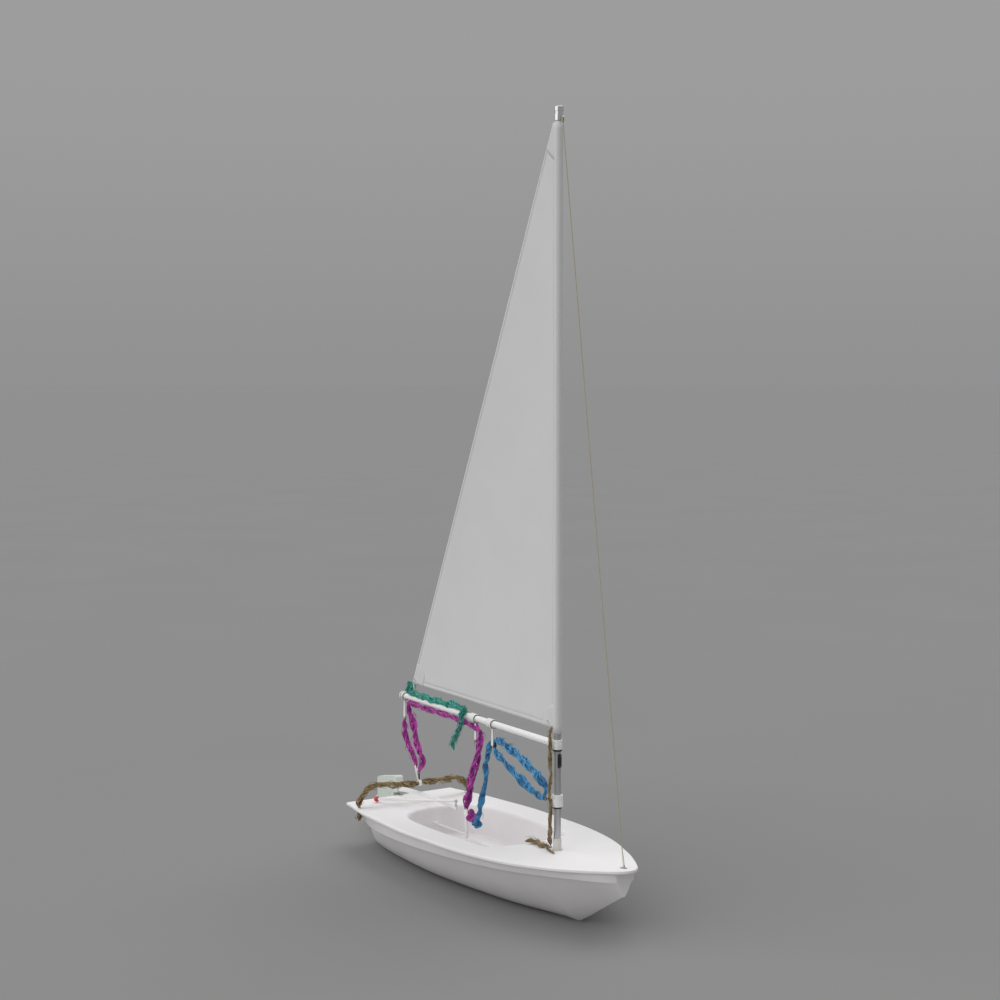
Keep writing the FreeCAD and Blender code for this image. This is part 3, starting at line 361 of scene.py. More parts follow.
# Loose-laid polyester ropes, dyed: matt twisted yarn, with painted shade in the lay and broad streaks of
# painted highlight and painted shade
MAGENTA_ROPE = Finish("magenta_twisted_rope", "#E14FC8", "#7E1473", 0.6, Surface.TWISTED, 7.0, 3.0, sheen=0.2)
BLUE_ROPE = Finish("blue_twisted_rope", "#4FB6EC", "#1A5788", 0.6, Surface.TWISTED, 7.0, 3.0, sheen=0.2)
TEAL_ROPE = Finish("teal_twisted_rope", "#3CCDB9", "#0C6A5E", 0.6, Surface.TWISTED, 7.0, 3.0, sheen=0.2)
# Hemp: coarse straw and brown fibre, mixed by painted shade in the lay and streaks of painted highlight and
# painted shade
HEMP_ROPE = Finish("brown_hemp_rope", "#C2AB80", "#705C3C", 0.85, Surface.TWISTED, 6.0, 3.0, sheen=0.1)
# Dark steel wire and hooks: dull grey with a worn shine
DARK_STEEL = Finish("dark_steel_wire", "#4E4E4A", "#35352F", 0.4, Surface.BRUSHED, 1.0, 0.02, 0.9)
# Stay of khaki plastic-covered wire: satin, slightly mottled
COATED_WIRE = Finish("khaki_covered_wire", "#C2B899", "#9E9478", 0.5, grain_mm=6.0, relief_mm=0.2)
# Painted studio floor: a matt mid grey, the least bit uneven
STUDIO_GREY = Finish("studio_floor_paint", "#8B8B8B", "#878787", 0.9, grain_mm=3000.0, relief_mm=0.0)

FINISH_OF_SLOT: dict[str, Finish] = {
    "hull": HULL_GELCOAT,
    "deck": DECK_GELCOAT,
    "fairlead": WHITE_ACETAL,
    "case": HULL_GELCOAT,
    "steel": STEEL,
    "mast_tube": MAST_ALUMINIUM,
    "cap": CHROME,
    "collar": GREY_NYLON,
    "cleat": BLACK_NYLON,
    "webbing": WEBBING,
    "boom_tube": BOOM_PAINT,
    "white_plastic": WHITE_ACETAL,
    "sailcloth": SAILCLOTH,
    "stock": STOCK_ENAMEL,
    "blade": FOIL_GELCOAT,
    "tiller": WHITE_ACETAL,
    "joint_rubber": RUBBER,
    "ball": RED_PLASTIC,
    "board": FOIL_GELCOAT,
}

# Nodes that look unlike the rest of their slot: the covered stay and the boom's white bands
FINISH_OF_NODE: dict[str, Finish] = {
    "forestay": COATED_WIRE,
    "boom_band_aft": WHITE_ACETAL,
    "boom_band_mid": WHITE_ACETAL,
    "boom_band_vang": WHITE_ACETAL,
}


def show(name: str, mesh: bpy.types.Mesh, finish: Finish) -> Piece:
    """Shows a mesh as a named piece at the origin, smooth shaded.

    Args:
        name: The piece's name.
        mesh: Its mesh, in place in the shared frame.
        finish: What it is made of.

    Returns:
        The new piece.
    """
    mesh.name = name
    mesh.shade_smooth()
    piece = bpy.data.objects.new(name, mesh)
    bpy.context.scene.collection.objects.link(piece)
    finish.dress(piece)
    return piece


def closed(shape: Shape) -> bpy.types.Mesh:
    """Merges a shape's doubles, turns its faces outwards, and makes it a mesh.

    Args:
        shape: The shape, which this call frees.

    Returns:
        Its mesh.
    """
    bmesh.ops.remove_doubles(shape, verts=shape.verts, dist=SAME_PLACE)
    bmesh.ops.recalc_face_normals(shape, faces=shape.faces)
    mesh = bpy.data.meshes.new("piece")
    shape.to_mesh(mesh)
    shape.free()
    return mesh


def spun(shape: Shape, geometry: list, steps: int, sweep_deg: float = FULL_TURN_DEG) -> dict[str, list]:
    """Spins some of a shape's edges round the Z axis.

    Args:
        shape: The shape that they are in.
        geometry: The vertices and edges to spin.
        steps: How many faces go round.
        sweep_deg: How far round they go.

    Returns:
        The operator's answer, whose geom_last is the far end of the sweep.
    """
    return bmesh.ops.spin(
        shape,
        geom=geometry,
        cent=(0.0, 0.0, 0.0),
        axis=UP,
        angle=math.radians(sweep_deg),
        steps=steps,
        use_merge=sweep_deg >= FULL_TURN_DEG,
    )


def turned(outline: Sequence[Pair], steps: int) -> Shape:
    """Turns a solid from its outline, round the Z axis.

    Args:
        outline: Radius and height of each corner, from the lower end up.
        steps: How many faces go round.

    Returns:
        The round shape.
    """
    shape = bmesh.new()
    corners = [shape.verts.new((radius, 0.0, height)) for radius, height in outline]
    edges = [shape.edges.new(pair) for pair in zip(corners, corners[1:])]
    spun(shape, [*corners, *edges], steps)
    return shape


def bent_wire(radius: float, wire: float, sweep_deg: float = FULL_TURN_DEG) -> Shape:
    """Bends round wire to a ring or a hook about the Z axis.

    Args:
        radius: From the axis to the middle of the wire.
        wire: Half the wire's thickness.
        sweep_deg: How far round it goes, from the X axis.

    Returns:
        The bent wire, with its ends closed.
    """
    shape = bmesh.new()
    turn = Matrix.Translation((radius, 0.0, 0.0)) @ Matrix.Rotation(math.pi / 2, 4, "X")
    open_ends = sweep_deg < FULL_TURN_DEG
    bmesh.ops.create_circle(shape, cap_ends=open_ends, segments=WIRE_SIDES, radius=wire, matrix=turn)
    swept = spun(shape, [*shape.verts, *shape.edges], WIRE_STEPS, sweep_deg)
    if open_ends:
        last = [part for part in swept["geom_last"] if isinstance(part, bmesh.types.BMEdge)]
        bmesh.ops.contextual_create(shape, geom=last)
    return shape


def flat_link(length: float, width: float, thickness: float) -> Shape:
    """Cuts a flat link with rounded ends, hanging down the Z axis from the origin.

    Args:
        length: From its top to its foot.
        width: Across it, along X.
        thickness: Through it, along Y.

    Returns:
        The link.
    """
    shape = bmesh.new()
    middle = Matrix.Translation((0.0, 0.0, -length / 2)) @ Matrix.Diagonal((width, thickness, length, 1.0))
    bmesh.ops.create_cube(shape, size=1.0, matrix=middle)
    corners = [e for e in shape.edges if abs(e.verts[0].co.y - e.verts[1].co.y) > thickness / 2]
    near_half = width * 0.48
    bmesh.ops.bevel(
        shape, geom=corners, offset=near_half, segments=5, profile=0.5, affect="EDGES", material=-1
    )
    return shape


def screw_head(radius: float) -> Shape:
    """Turns a pan head with a round socket, standing on the origin."""
    shares = ((1.0, 0.0), (1.0, 0.28), (0.82, 0.52), (0.45, 0.6), (0.42, 0.3), (0.0, 0.26))
    return turned([(radius * out, radius * up) for out, up in shares], steps=16)


def facing(direction: Vector, origin: Point | Vector) -> Matrix:
    """Gives the turn that lays the Z axis along a direction, then moves it to an origin."""
    return Matrix.Translation(origin) @ direction.to_track_quat("Z", "Y").to_matrix().to_4x4()


@dataclass
class Fitting:
    """One piece that is put together from several small parts."""

    name: str
    finish: Finish
    shape: Shape = field(default_factory=bmesh.new)

    def add(self, part: Shape, place: Matrix) -> None:
        """Puts a part in its place in the fitting.

        Args:
            part: The part, about its own origin, which this call frees.
            place: Its turn and place in the shared frame.
        """
        bmesh.ops.transform(part, matrix=place, verts=part.verts)
        mesh = closed(part)
        self.shape.from_mesh(mesh)
        bpy.data.meshes.remove(mesh)

    def build(self, body: str) -> Piece:
        """Shows the fitting and rides it on a body.

        Args:
            body: The body that carries it.

        Returns:
            The fitting.
        """
        mesh = bpy.data.meshes.new(self.name)
        self.shape.to_mesh(mesh)
        self.shape.free()
        piece = show(self.name, mesh, self.finish)
        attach(piece, body)
        return piece


def smooth_line(points: Route) -> list[Vector]:
    """Reads the smooth line that a route's points control.

    Args:
        points: The route's control points.

    Returns:
        Points along the route's NURBS line.
    """
    curve = bpy.data.curves.new("route", "CURVE")
    curve.dimensions = "3D"
    curve.resolution_u = 16
    spline = curve.splines.new("NURBS")
    spline.points.add(len(points) - 1)
    for handle, point in zip(spline.points, points):
        handle.co = (*point, 1.0)
    spline.order_u = 3
    spline.use_endpoint_u = True
    holder = bpy.data.objects.new("route", curve)
    mesh = bpy.data.meshes.new_from_object(holder)
    line = [vertex.co.copy() for vertex in mesh.vertices]
    bpy.data.objects.remove(holder)
    bpy.data.curves.remove(curve)
    bpy.data.meshes.remove(mesh)
    return line


def evenly(line: list[Vector], step: float) -> list[Vector]:
    """Walks a line in equal steps.

    Args:
        line: Points along it.
        step: The length of one step.

    Returns:
        Points that are about one step apart, both ends included.
    """
    lengths = [0.0]
    for a, b in zip(line, line[1:]):
        lengths.append(lengths[-1] + (b - a).length)
    count = max(2, round(lengths[-1] / step))
    walked = []
    at = 0
    for i in range(count + 1):
        goal = lengths[-1] * i / count
        while at < len(line) - 2 and lengths[at + 1] < goal:
            at += 1
        span = max(lengths[at + 1] - lengths[at], 1e-9)
        walked.append(line[at].lerp(line[at + 1], (goal - lengths[at]) / span))
    return walked


def length_of(line: list[Vector]) -> float:
    """Measures a line."""
    return sum((b - a).length for a, b in zip(line, line[1:]))


def tubes(name: str, strands: list[Strand]) -> bpy.types.Mesh:
    """Sweeps an eight-sided section along each of several lines.

    Args:
        name: The mesh's name.
        strands: The points of each line, and the tube's radius at each of them.

    Returns:
        One mesh of closed tubes, whose UV map has metres along and a full turn across.
    """
    curve = bpy.data.curves.new(name, "CURVE")
    curve.dimensions = "3D"
    curve.bevel_depth = 1.0
    curve.bevel_resolution = 2
    curve.use_fill_caps = True
    for line, sizes in strands:
        spline = curve.splines.new("POLY")
        spline.points.add(len(line) - 1)
        for handle, point, size in zip(spline.points, line, sizes):
            handle.co = (*point, 1.0)
            handle.radius = size
    holder = bpy.data.objects.new(name, curve)
    mesh = bpy.data.meshes.new_from_object(holder)
    bpy.data.objects.remove(holder)
    bpy.data.curves.remove(curve)
    length = length_of(strands[0][0])
    for corner in mesh.uv_layers[0].data:
        corner.uv = (corner.uv[0] * length, corner.uv[1])
    return mesh


def out_of(side: Vector, other: Vector, angle: float) -> Vector:
    """Points out of a rope at an angle round it, from two directions across it."""
    return side * math.cos(angle) + other * math.sin(angle)


@dataclass
class Rope:
    """A loose-laid rope: plies of a few yarns that wind round a given route and wander off it.

    A reach or radius is a share of the rope's width, and a sway is in radians. A wander is the rate of
    a noise per metre, followed by the factors that make it differ from rope, yarn and ply to the next.
    """

    name: str
    finish: Finish
    routes: list[Route]
    width: float
    plies: int = 2
    yarns: int = 4
    lay: float = 0.4
    looseness: float = 0.7
    stray: int = 0
    fray: float = 0.0
    seed: int = 1
    step: float = 0.01
    waists: Sequence[tuple[Point, float]] = ()
    waist_reach: float = 0.06
    end_widths: float = 1.6
    end_share: float = 0.3
    yarn_lay: float = 0.62
    ply_reach: float = 0.2
    ply_give: float = 0.8
    ply_sway: float = 1.6
    yarn_reach: float = 0.17
    yarn_give: float = 0.2
    yarn_sway: float = 2.2
    yarn_radius: float = 0.105
    end_radius: Pair = (0.55, 0.45)
    lumps: Pair = (0.5, 0.3)
    slow_wander: tuple[float, ...] = (5.0, 3.7, 0.0, 5.1)
    quick_wander: tuple[float, ...] = (11.0, 1.9, 3.3, 7.7)
    lump_wander: tuple[float, ...] = (30.0, 1.3, 2.9, 9.7)
    wisp_points: int = 7
    wisp_reach: float = 0.32
    wisp_spring: Pair = (0.22, 0.14)
    wisp_arc: float = 2.6
    wisp_curl: float = 0.6
    wisp_radius: float = 0.04
    wisp_taper: float = 0.12

    def build(self) -> Piece:
        """Lays every yarn of every route and joins them in one piece.

        Returns:
            The rope.
        """
        strands: list[Strand] = []
        for number, route in enumerate(self.routes):
            frames = self.frames(evenly(smooth_line(route), self.step))
            seed = self.seed + 10 * number
            strands += [self.yarn(frames, p, y, seed) for p in range(self.plies) for y in range(self.yarns)]
            wisps = int(self.stray * self.step * len(frames))
            strands += [self.wisp(frames, wisp, seed) for wisp in range(wisps)]
        return show(self.name, tubes(self.name, strands), self.finish)

    def held(self, body: str) -> Piece:
        """Lays a rope that one body carries.

        Args:
            body: The body that it rides on.

        Returns:
            The rope.
        """
        piece = self.build()
        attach(piece, body)
        return piece

    def led(self) -> Piece:
        """Lays a rope that leads from the hull to the boom.


        Returns:
            The rope.
        """
        piece = self.build()
        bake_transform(piece)
        return piece

    def frames(self, middle: list[Vector]) -> Frames:
        """Gives each point of a line with two directions across it, as long as the rope is wide.

        Args:
            middle: The line, in equal steps.

        Returns:
            For each point, the point and the two directions.
        """
        # Leans a little from port, so that no route runs straight along it
        side = Vector((0.0, 1.0, 0.01)).normalized()
        found = []
        for i, point in enumerate(middle):
            ahead = (middle[min(i + 1, len(middle) - 1)] - middle[max(i - 1, 0)]).normalized()
            side = (side - ahead * side.dot(ahead)).normalized()
            width = self.width * (1.0 + self.fray * (i / len(middle)) ** 3)
            for waist, share in self.waists:
                off = min(1.0, (point - Vector(waist)).length / self.waist_reach)
                width = min(width, self.width * (share + (1.0 - share) * off * off))
            found.append((point, side * width, ahead.cross(side) * width))
        return found

    def yarn(self, frames: Frames, ply: int, yarn: int, seed: int) -> Strand:
        """Lays one yarn of one ply.

        Args:
            frames: Points along the route, each with two directions across it.
            ply: Which ply the yarn is in.
            yarn: Which yarn of the ply it is.
            seed: Picks the yarn's own wander.

        Returns:
            The yarn's points and its radius at each.
        """
        line: list[Vector] = []
        sizes: list[float] = []
        for i, (point, side, other) in enumerate(frames):
            run = i * self.step
            slow, quick, lump = (
                noise.noise(Vector((run * rate, seed * by_seed + yarn * by_yarn, ply * by_ply)))
                for rate, by_seed, by_yarn, by_ply in (self.slow_wander, self.quick_wander, self.lump_wander)
            )
            to_end = min(i, len(frames) - 1 - i) * self.step
            end = min(1.0, to_end / (self.width * self.end_widths) + self.end_share)
            ply_turn = math.tau * (ply / self.plies + run / self.lay) + self.ply_sway * slow
            yarn_turn = math.tau * (yarn / self.yarns + run / (self.lay * self.yarn_lay))
            yarn_turn += self.yarn_sway * quick
            ply_push = self.ply_reach * (1.0 + self.ply_give * self.looseness * slow) * end
            yarn_push = (self.yarn_reach + self.yarn_give * self.looseness * quick) * end
            centre = point + out_of(side, other, ply_turn) * ply_push
            line.append(centre + out_of(side, other, yarn_turn) * yarn_push)
            lumpy = 1.0 + self.lumps[0] * lump + self.lumps[1] * slow
            full = side.length * self.yarn_radius * lumpy
            sizes.append(full * (self.end_radius[0] + self.end_radius[1] * end))
        return line, sizes

    def wisp(self, frames: Frames, wisp: int, seed: int) -> Strand:
        """Lays one frayed fibre that springs out of the rope and bends back.

        Args:
            frames: Points along the route, each with two directions across it.
            wisp: Which fibre this is.
            seed: Picks the fibre's place and bend.

        Returns:
            The fibre's points and its radius at each.
        """
        # Uneven steps between the draws, so that no two fibres are alike
        chance = [noise.cell(Vector((wisp * 1.7 + 0.3, seed * 2.3 + 0.1, part * 3.1))) for part in range(4)]
        at = int((0.5 + 0.5 * chance[0]) * (len(frames) - self.wisp_points))
        turn = chance[1] * math.pi
        reach = self.wisp_spring[0] + self.wisp_spring[1] * chance[2]
        line: list[Vector] = []
        for i in range(self.wisp_points):
            point, side, other = frames[at + i]
            share = i / (self.wisp_points - 1)
            push = self.wisp_reach + reach * math.sin(share * self.wisp_arc)
            angle = turn + share * (self.wisp_curl + chance[3])
            line.append(point + out_of(side, other, angle) * push)
        thick = self.width * self.wisp_radius
        return line, [thick * (1.0 - self.wisp_taper * i) for i in range(self.wisp_points)]


def knot(centre: Point, size: float, tilt_deg: float) -> Route:
    """Gives the route of a pulled-up overhand knot.

    Args:
        centre: The knot's middle.
        size: How wide it is across the rope.
        tilt_deg: How far it is turned about the Y axis.

    Returns:
        The control points of its loop, which crosses itself three times.
    """
    turn = Matrix.Rotation(math.radians(tilt_deg), 3, "Y")
    points, span, depth = 16, 6.0, 1.6
    route = []
    for i in range(points):
        angle = math.tau * i / (points - 1)
        trefoil = Vector((
            math.sin(angle) + 2.0 * math.sin(2.0 * angle),
            -depth * math.sin(3.0 * angle),
            math.cos(angle) - 2.0 * math.cos(2.0 * angle),
        ))
        route.append(tuple(Vector(centre) + turn @ trefoil * (size / span)))
    return route


@dataclass
class Sail:
    """The mainsail: one cut of cloth with a sleeve that slips over the mast, hems and corner patches."""

    tack_height: float = 1.521
    foot_rise: float = 0.018
    foot: float = 2.467
    head_height: float = 6.490
    head_width: float = 0.085
    sleeve_low: float = 1.490
    sleeve_radius: float = 0.0358
    sleeve_girth: float = 0.22
    luff_share: float = 0.97
    belly: float = 0.05
    draft_power: float = 0.8
    foot_draft: Pair = (0.08, 0.92)
    columns: int = 40
    rows: int = 80
    cloth_thickness: float = 0.0012
    hem: float = 0.032
    luff_hem: float = 1.6
    hem_thickness: float = 0.0018
    patch: float = 0.20
    head_patch: float = 1.6
    patch_thickness: float = 0.0022
    eyelet_radius: float = 0.014
    eyelet_wire: float = 0.0035
    eyelets_back: Pair = (0.988, 0.045)
    eyelets_high: float = 0.0075

    @property
    def tall(self) -> float:
        """The cloth's height from tack to head."""
        return self.head_height - self.tack_height

    @property
    def sleeve_length(self) -> float:
        """The sleeve's length along the mast."""
        return self.head_height - self.sleeve_low

    def build(self) -> list[Piece]:
        """Returns:
            The cloth, its hems, its patches and its eyelets.
        """
        piece = self.cloth("mainsail", self.sheet(), SAILCLOTH, self.cloth_thickness)
        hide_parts("sail")
        hems = self.cloth("mainsail_hems", self.hems(), DOUBLED_CLOTH, self.hem_thickness)
        patches = self.cloth("mainsail_patches", self.patches(), DOUBLED_CLOTH, self.patch_thickness)
        eyelets = self.eyelets()
        area = (self.foot + self.head_width) / 2 * self.tall
        area += math.tau * self.sleeve_radius * self.sleeve_length
        return [piece, hems, patches, eyelets]

    @staticmethod
    def cloth(name: str, shape: Shape, finish: Finish, thickness: float) -> Piece:
        """Shows a cut of cloth, which moves with the boom.

        Args:
            name: The piece's name.
            shape: Its middle surface.
            finish: What it is made of.
            thickness: How thick it is, half to each side.

        Returns:
            The cloth.
        """
        piece = show(name, closed(shape), finish)
        wall = piece.modifiers.new("cloth", "SOLIDIFY")
        wall.thickness = thickness
        wall.offset = 0.0
        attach(piece, "boom")
        return piece

    def sheet(self) -> Shape:
        """Bends a grid to the sail and slips a sleeve over the mast.

        Returns:
            The cloth's middle surface.
        """
        shape = bmesh.new()
        self.strip(shape, (self.columns, self.rows), lambda back, high: (back, high))
        bmesh.ops.create_cone(
            shape,
            cap_ends=False,
            segments=32,
            radius1=self.sleeve_radius,
            radius2=self.sleeve_radius,
            depth=self.sleeve_length,
            matrix=Matrix.Translation(UP * (self.head_height + self.sleeve_low) / 2),
        )
        lengthwise = [edge for edge in shape.edges if edge.calc_length() > self.sleeve_length / 2]
        bmesh.ops.subdivide_edges(shape, edges=lengthwise, cuts=self.rows)
        return shape

    def hems(self) -> Shape:
        """Lays doubled strips along leech, foot and sleeve.

        Returns:
            The strips.
        """
        shape = bmesh.new()
        tall, hem = self.tall, self.hem
        self.strip(shape, (2, self.rows), lambda a, b: (1.0 - (1.0 - a) * hem / self.chord(b), b))
        self.strip(shape, (self.columns, 2), lambda a, b: (a, b * hem / tall))
        self.strip(shape, (2, self.rows), lambda a, b: (a * hem * self.luff_hem / self.chord(b), b))
        return shape

    def patches(self) -> Shape:
        """Lays a fan-shaped patch in clew and tack, and one across the head.

        Returns:
            The patches.
        """
        shape = bmesh.new()
        tall, reach, foot = self.tall, self.patch, self.foot
        rounding, slant = 0.5, 0.35

        def fan(a: float, b: float) -> float:
            """Rounds off a corner patch's upper edge."""
            return b * reach * (1.0 - rounding * a * a) / tall

        def band(a: float, b: float) -> float:
            """Slants the head patch's lower edge."""
            return 1.0 - b * reach * self.head_patch * (1.0 - slant * a) / tall

        self.strip(shape, (8, 8), lambda a, b: (1.0 - a * reach / foot, fan(a, b)))
        self.strip(shape, (8, 8), lambda a, b: (a * reach / foot, fan(a, b)))
        self.strip(shape, (6, 8), lambda a, b: (a, band(a, b)))
        return shape

    def strip(
        self, shape: Shape, cells: tuple[int, int], spread: Callable[[float, float], Pair]
    ) -> None:
        """Lays one strip of cloth on the sail's surface.

        Args:
            shape: The shape that gets the strip.
            cells: How many cells it has each way.
            spread: Turns a place on the strip, from 0 to 1 each way, into shares along the sail.
        """
        made = bmesh.ops.create_grid(shape, x_segments=cells[0], y_segments=cells[1], size=0.5)
        for vertex in made["verts"]:
            vertex.co = self.place(*spread(vertex.co.x + 0.5, vertex.co.y + 0.5))

    def eyelets(self) -> Piece:
        """Sets a pressed steel eyelet in clew and tack.

        Returns:
            The two eyelets.
        """
        rings = Fitting("mainsail_eyelets", STEEL)
        for back in self.eyelets_back:
            ring = bent_wire(self.eyelet_radius, self.eyelet_wire)
            rings.add(ring, facing(PORT, self.place(back, self.eyelets_high)))
        return rings.build("boom")

    def chord(self, high: float) -> float:
        """Gives the sail's width at a share of its height."""
        return self.foot + (self.head_width - self.foot) * high

    def place(self, back: float, high: float) -> Vector:
        """Finds where a point of the flat cut comes to lie.

        Args:
            back: Share of the way from luff to leech.
            high: Share of the way from foot to head.

        Returns:
            The point in the shared frame.
        """
        low = self.tack_height + self.foot_rise * back
        height = low + (self.head_height - low) * high
        luff = self.sleeve_radius * self.luff_share
        start, rise = self.foot_draft
        across = math.sin(math.pi * back**self.draft_power)
        deep = self.belly * across * math.sin(math.pi * (start + rise * high))
        chord = self.chord(high)
        return Vector((-luff - (chord - luff) * back, deep * chord / self.foot, height))


@dataclass
class RunningRigging:
    """Every rope that is led along a listed route: mainsheet, vang, outhaul, downhaul and traveller."""

    sheet_left: Route = amidships(
        (-2.625, 1.165), (-2.64, 1.068), (-2.571, 0.973), (-2.49, 0.883), (-2.424, 0.809), (-2.408, 0.77),
        (-2.402, 0.748),
    )
    sheet_right: Route = amidships(
        (-2.572, 1.338), (-2.54, 1.3), (-2.487, 1.214), (-2.428, 1.103), (-2.383, 1.007), (-2.331, 0.895),
        (-2.288, 0.83), (-2.305, 0.77), (-2.345, 0.715),
    )
    sheet_boom: Route = amidships(
        (-2.575, 1.336), (-2.41, 1.346), (-2.218, 1.34), (-2.03, 1.338), (-1.827, 1.345), (-1.663, 1.328),
        (-1.539, 1.33), (-1.399, 1.328), (-1.27, 1.322), (-1.228, 1.285),
    )
    sheet_down: Route = amidships(
        (-1.232, 1.3), (-1.223, 1.25), (-1.248, 1.145), (-1.304, 1.02), (-1.373, 0.859), (-1.436, 0.698),
        (-1.472, 0.58), (-1.474, 0.535),
    )
    sheet_stopper: Route = amidships((-1.448, 0.512), (-1.415, 0.508), (-1.39, 0.5))
    vang_tail: Route = amidships(
        (-1.04, 1.23), (-1.079, 1.195), (-1.094, 1.124), (-1.131, 0.988), (-1.156, 0.837), (-1.202, 0.698),
        (-1.249, 0.557), (-1.285, 0.462),
    )
    vang_high: Route = amidships(
        (-0.99, 1.232), (-0.974, 1.276), (-0.854, 1.264), (-0.621, 1.196), (-0.393, 1.114), (-0.213, 1.042),
        (-0.168, 0.974), (-0.196, 0.922),
    )
    vang_low: Route = amidships(
        (-0.99, 1.19), (-0.974, 1.15), (-0.825, 1.095), (-0.621, 1.008), (-0.449, 0.948), (-0.281, 0.889),
        (-0.205, 0.9),
    )
    outhaul: Route = (
        *amidships((-2.5, 1.545), (-2.498, 1.5), (-2.49, 1.456), (-2.44, 1.44), (-2.19, 1.444)),
        *amidships((-1.92, 1.45), (-1.658, 1.452), (-1.5, 1.456)),
        (-1.462, -0.02, 1.452), (-1.458, -0.056, 1.425), (-1.462, -0.06, 1.385), (-1.475, -0.04, 1.352),
    )
    outhaul_tail: Route = (
        (-1.475, -0.038, 1.36), (-1.496, -0.048, 1.305), (-1.545, -0.054, 1.232), (-1.606, -0.052, 1.16),
        (-1.622, -0.052, 1.1), (-1.604, -0.052, 1.062),
    )
    downhaul: Route = (
        (-0.075, -0.01, 1.53), (-0.05, -0.04, 1.5), (-0.008, -0.068, 1.44), (-0.003, -0.071, 1.268),
        (-0.004, -0.07, 1.1), (-0.007, -0.07, 0.929), (-0.005, -0.068, 0.78), (-0.01, -0.066, 0.66),
        (-0.05, -0.045, 0.59), (-0.093, -0.01, 0.542), (-0.1, 0.0, 0.528),
    )
    # The next two are measured on the deck
    downhaul_tail: Route = (
        (-0.102, -0.018, 0.024), (-0.108, -0.045, 0.024), (-0.145, -0.062, 0.024), (-0.2, -0.05, 0.024),
        (-0.255, -0.036, 0.024), (-0.3, -0.044, 0.026), (-0.322, -0.08, 0.028), (-0.318, -0.112, 0.028),
    )
    downhaul_end: Route = (
        (-0.098, -0.016, 0.011), (-0.08, -0.05, 0.011), (-0.03, -0.078, 0.011), (0.02, -0.088, 0.011),
        (0.07, -0.094, 0.011), (0.122, -0.108, 0.011),
    )
    traveller: Route = (
        (-2.431, -0.592, 0.302), (-2.43, -0.592, 0.345), (-2.4285, -0.5906, 0.385), (-2.4285, -0.5906, 0.425),
        (-2.428, -0.603, 0.468), (-2.425, -0.563, 0.54), (-2.415, -0.524, 0.589), (-2.405, -0.458, 0.622),
        (-2.385, -0.334, 0.617), (-2.365, -0.227, 0.606), (-2.345, -0.12, 0.6), (-2.335, -0.03, 0.604),
        (-2.335, 0.043, 0.604), (-2.345, 0.153, 0.599), (-2.36, 0.263, 0.594), (-2.38, 0.374, 0.588),
        (-2.395, 0.441, 0.583), (-2.41, 0.508, 0.56), (-2.42, 0.563, 0.524), (-2.428, 0.598, 0.47),
        (-2.4285, 0.5906, 0.425), (-2.4285, 0.5906, 0.385), (-2.43, 0.592, 0.345), (-2.431, 0.592, 0.318),
    )
    stopper_knot: Knot = ((-1.374, 0.0, 0.49), 0.1, 30.0)
    vang_knot: Knot = ((-1.292, 0.0, 0.446), 0.088, 60.0)
    clew_knot: Knot = ((-2.503, 0.0, 1.492), 0.1, 20.0)
    traveller_knots: tuple[Knot, Knot] = (
        ((-2.43, 0.592, 0.35), 0.052, 15.0), ((-2.43, -0.592, 0.35), 0.052, 15.0),
    )
    # Where the traveller is squeezed, by each bush and by the bead, and to what share of its width
    traveller_waists: tuple[tuple[Point, float], ...] = (
        ((-2.4285, 0.5906, 0.405), 0.14),
        ((-2.4285, -0.5906, 0.405), 0.14),
        ((-2.334, 0.0, 0.604), 0.5),
    )

    def build(self) -> list[Piece]:
        """Lays the ropes and puts each on what holds it."""
        return [*self.mainsheet(), *self.vang(), *self.sail_lines(), *self.traveller_rope()]

    def mainsheet(self) -> list[Piece]:
        """Leads the mainsheet from the traveller up to the boom, along it and down to the cockpit.

        Returns:
            The fall, the tackle, the run along the boom and the stopper knot.
        """
        down, left = self.sheet_down, self.sheet_left
        fall = Rope("mainsheet_fall", MAGENTA_ROPE, [down], width=0.084, lay=0.7, seed=3, stray=12)
        parts = [left, self.sheet_right]
        tackle = Rope("mainsheet_tackle", MAGENTA_ROPE, parts, width=0.076, seed=5, stray=12)
        run = Rope("mainsheet_run", MAGENTA_ROPE, [self.sheet_boom], width=0.068, lay=0.6, seed=7, stray=8)
        ends = [self.sheet_stopper, knot(*self.stopper_knot)]
        stopper = Rope("mainsheet_stopper", MAGENTA_ROPE, ends, width=0.048, seed=21, stray=14)
        return [
            fall.led(), tackle.led(), run.held("boom"), stopper.held("hull")
        ]

    def vang(self) -> list[Piece]:
        """Leads the vang from its collar to the boom, and its tail down to the toe strap.

        Returns:
            The tail, the tackle and the knot at the tail's end.
        """
        down, parts = self.vang_tail, [self.vang_high, self.vang_low]
        tail = Rope("vang_tail", BLUE_ROPE, [down], width=0.068, lay=0.5, seed=9, stray=10)
        tackle = Rope("vang_tackle", BLUE_ROPE, parts, width=0.078, lay=0.5, seed=11, stray=10)
        end = Rope("vang_knot", BLUE_ROPE, [knot(*self.vang_knot)], width=0.042, seed=23)
        return [tail.led(), tackle.held("boom"), end.held("hull")]

